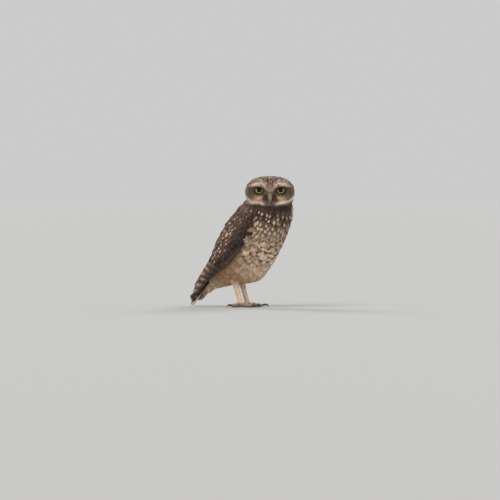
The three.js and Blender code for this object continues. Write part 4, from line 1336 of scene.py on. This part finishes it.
foot_materials = {"toes": toe_finish(), "claws": claw_finish()}
for name, side in (("left", 1), ("right", -1)):
    ankle = on_leg(side, 0, 4.5)
    pieces, plates = {"toes": [], "claws": []}, []
    for heading_out, length, claw in TOES:
        way = np.array([side * math.sin(math.radians(heading_out)), -math.cos(math.radians(heading_out)), 0])
        at = lambda out, height: np.array([*(ankle + way * out)[:2], height])
        toe_points = [at(-2, 4.0), at(length * 0.35, 3.4), at(length * 0.7, 2.75), at(length, 2.5)]
        toe_sizes = [[3.4, 3.4], [TOE_RADIUS, 2.9], [TOE_RADIUS, 2.7], [2.1, 2.1]]
        nail = [(-2, 2.6), (claw * 0.4, 3.7), (claw * 0.8, 2.7), (claw, CLAW_CLEAR)]
        nail_points = [at(length + out, height) for out, height in nail]
        nail_sizes = [[1.5, 1.7], [1.3, 1.5], [0.8, 0.9], [0.2, 0.2]]

        def toe_place(down, around):
            made = limb(toe_points, toe_sizes, down, around)
            joints = 0.35 * np.cos(down * 2 * np.pi * 2.6)[..., None]
            middle = curve(toe_points, down.ravel()).reshape(made.shape)
            made = made + unit(made - middle) * joints * ease(down, 0, 0.1)[..., None]
            made[..., 2] = np.maximum(made[..., 2], 0.0)
            return made

        toe = ball(TOE_ROWS, TOE_COLUMNS, toe_place)
        down = np.concatenate([[0], np.repeat(np.arange(1, TOE_ROWS) / TOE_ROWS, TOE_COLUMNS), [1]])
        plates.append(np.column_stack([down * length / PLATE_SPAN, toe[0][:, 2] / 6]))
        pieces["toes"].append(toe)
        pieces["claws"].append(ball(24, 16, lambda down, around: limb(nail_points, nail_sizes, down, around)))
    for kind, made in pieces.items():
        thing = bird_mesh(f"{kind}_{name}", *joined(made))
        thing.data.materials.append(foot_materials[kind])
        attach(thing, "root")
        if kind == "toes":
            mapped(thing, "plates", np.vstack(plates))
            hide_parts(f"foot_{name}")

# Studio
# A wide floor of pale paper under a grey-white sky of even light.
# A big soft light stands high on the left of the picture, a weaker one on the right, and two behind the bird.
FLOOR_REACH = 60.0
floor_mesh = bpy.data.meshes.new("floor")
corners = [(x * FLOOR_REACH, y * FLOOR_REACH, 0) for x, y in ((-1, -1), (1, -1), (1, 1), (-1, 1))]
floor_mesh.from_pydata(corners, [], [(0, 1, 2, 3)])
floor = bpy.data.objects.new("floor", floor_mesh)
bpy.context.scene.collection.objects.link(floor)
paper = Finish("floor")
paper.wear(Base_Color=(0.317, 0.317, 0.313), Roughness=0.9)
floor_mesh.materials.append(paper.material)

world = bpy.data.worlds.new("studio")
bpy.context.scene.world = world
world.use_nodes = True
sky = world.node_tree.nodes["Background"].inputs
sky["Color"].default_value = (1, 1, 0.995, 1)
sky["Strength"].default_value = 0.6

VIEW_TURN, VIEW_HEIGHT = math.radians(-60), math.radians(1.0)
FRAME_WIDTH, CAMERA_DISTANCE = 0.75, 5.0
AIM_RIGHT, AIM_UP = 0.00825, 0.0855


def from_above(turn, rise):
    """The way to a place in the sky, turned round the bird and raised."""
    return Vector((math.sin(turn) * math.cos(rise), -math.cos(turn) * math.cos(rise), math.sin(rise)))


def soft_light(name, turn, rise, breadth, power, colour=(1, 1, 1)):
    """A far soft light, turned from the camera's side and raised, in degrees; breadth is its width there."""
    data = bpy.data.lights.new(name, "SUN")
    data.angle, data.energy, data.color = math.radians(breadth), power, colour
    lamp = bpy.data.objects.new(name, data)
    way = from_above(VIEW_TURN + math.radians(turn), math.radians(rise))
    lamp.location = way
    lamp.rotation_mode = "QUATERNION"
    lamp.rotation_quaternion = way.to_track_quat("Z", "Y")
    bpy.context.scene.collection.objects.link(lamp)


back = from_above(VIEW_TURN, VIEW_HEIGHT)
right = Vector((math.cos(VIEW_TURN), math.sin(VIEW_TURN), 0))
aim = Vector((bird_origin / 1000).tolist()) + right * AIM_RIGHT + Vector((0, 0, AIM_UP))
camera_data = bpy.data.cameras.new("camera")
camera_data.angle = 2 * math.atan(FRAME_WIDTH / 2 / CAMERA_DISTANCE)
camera_data.clip_end = 200
camera = bpy.data.objects.new("camera", camera_data)
camera.location = aim + back * CAMERA_DISTANCE
camera.rotation_mode = "QUATERNION"
camera.rotation_quaternion = (-back).to_track_quat("-Z", "Y")
bpy.context.scene.collection.objects.link(camera)
bpy.context.scene.camera = camera
bpy.context.scene.view_settings.view_transform = "Standard"
soft_light("key", -40, 50, 35, 2.0, (1.0, 0.98, 0.95))
soft_light("fill", 60, 12, 60, 0.8)
soft_light("rim_left", -145, 35, 25, 1.3)
soft_light("rim_right", 145, 35, 25, 1.3)
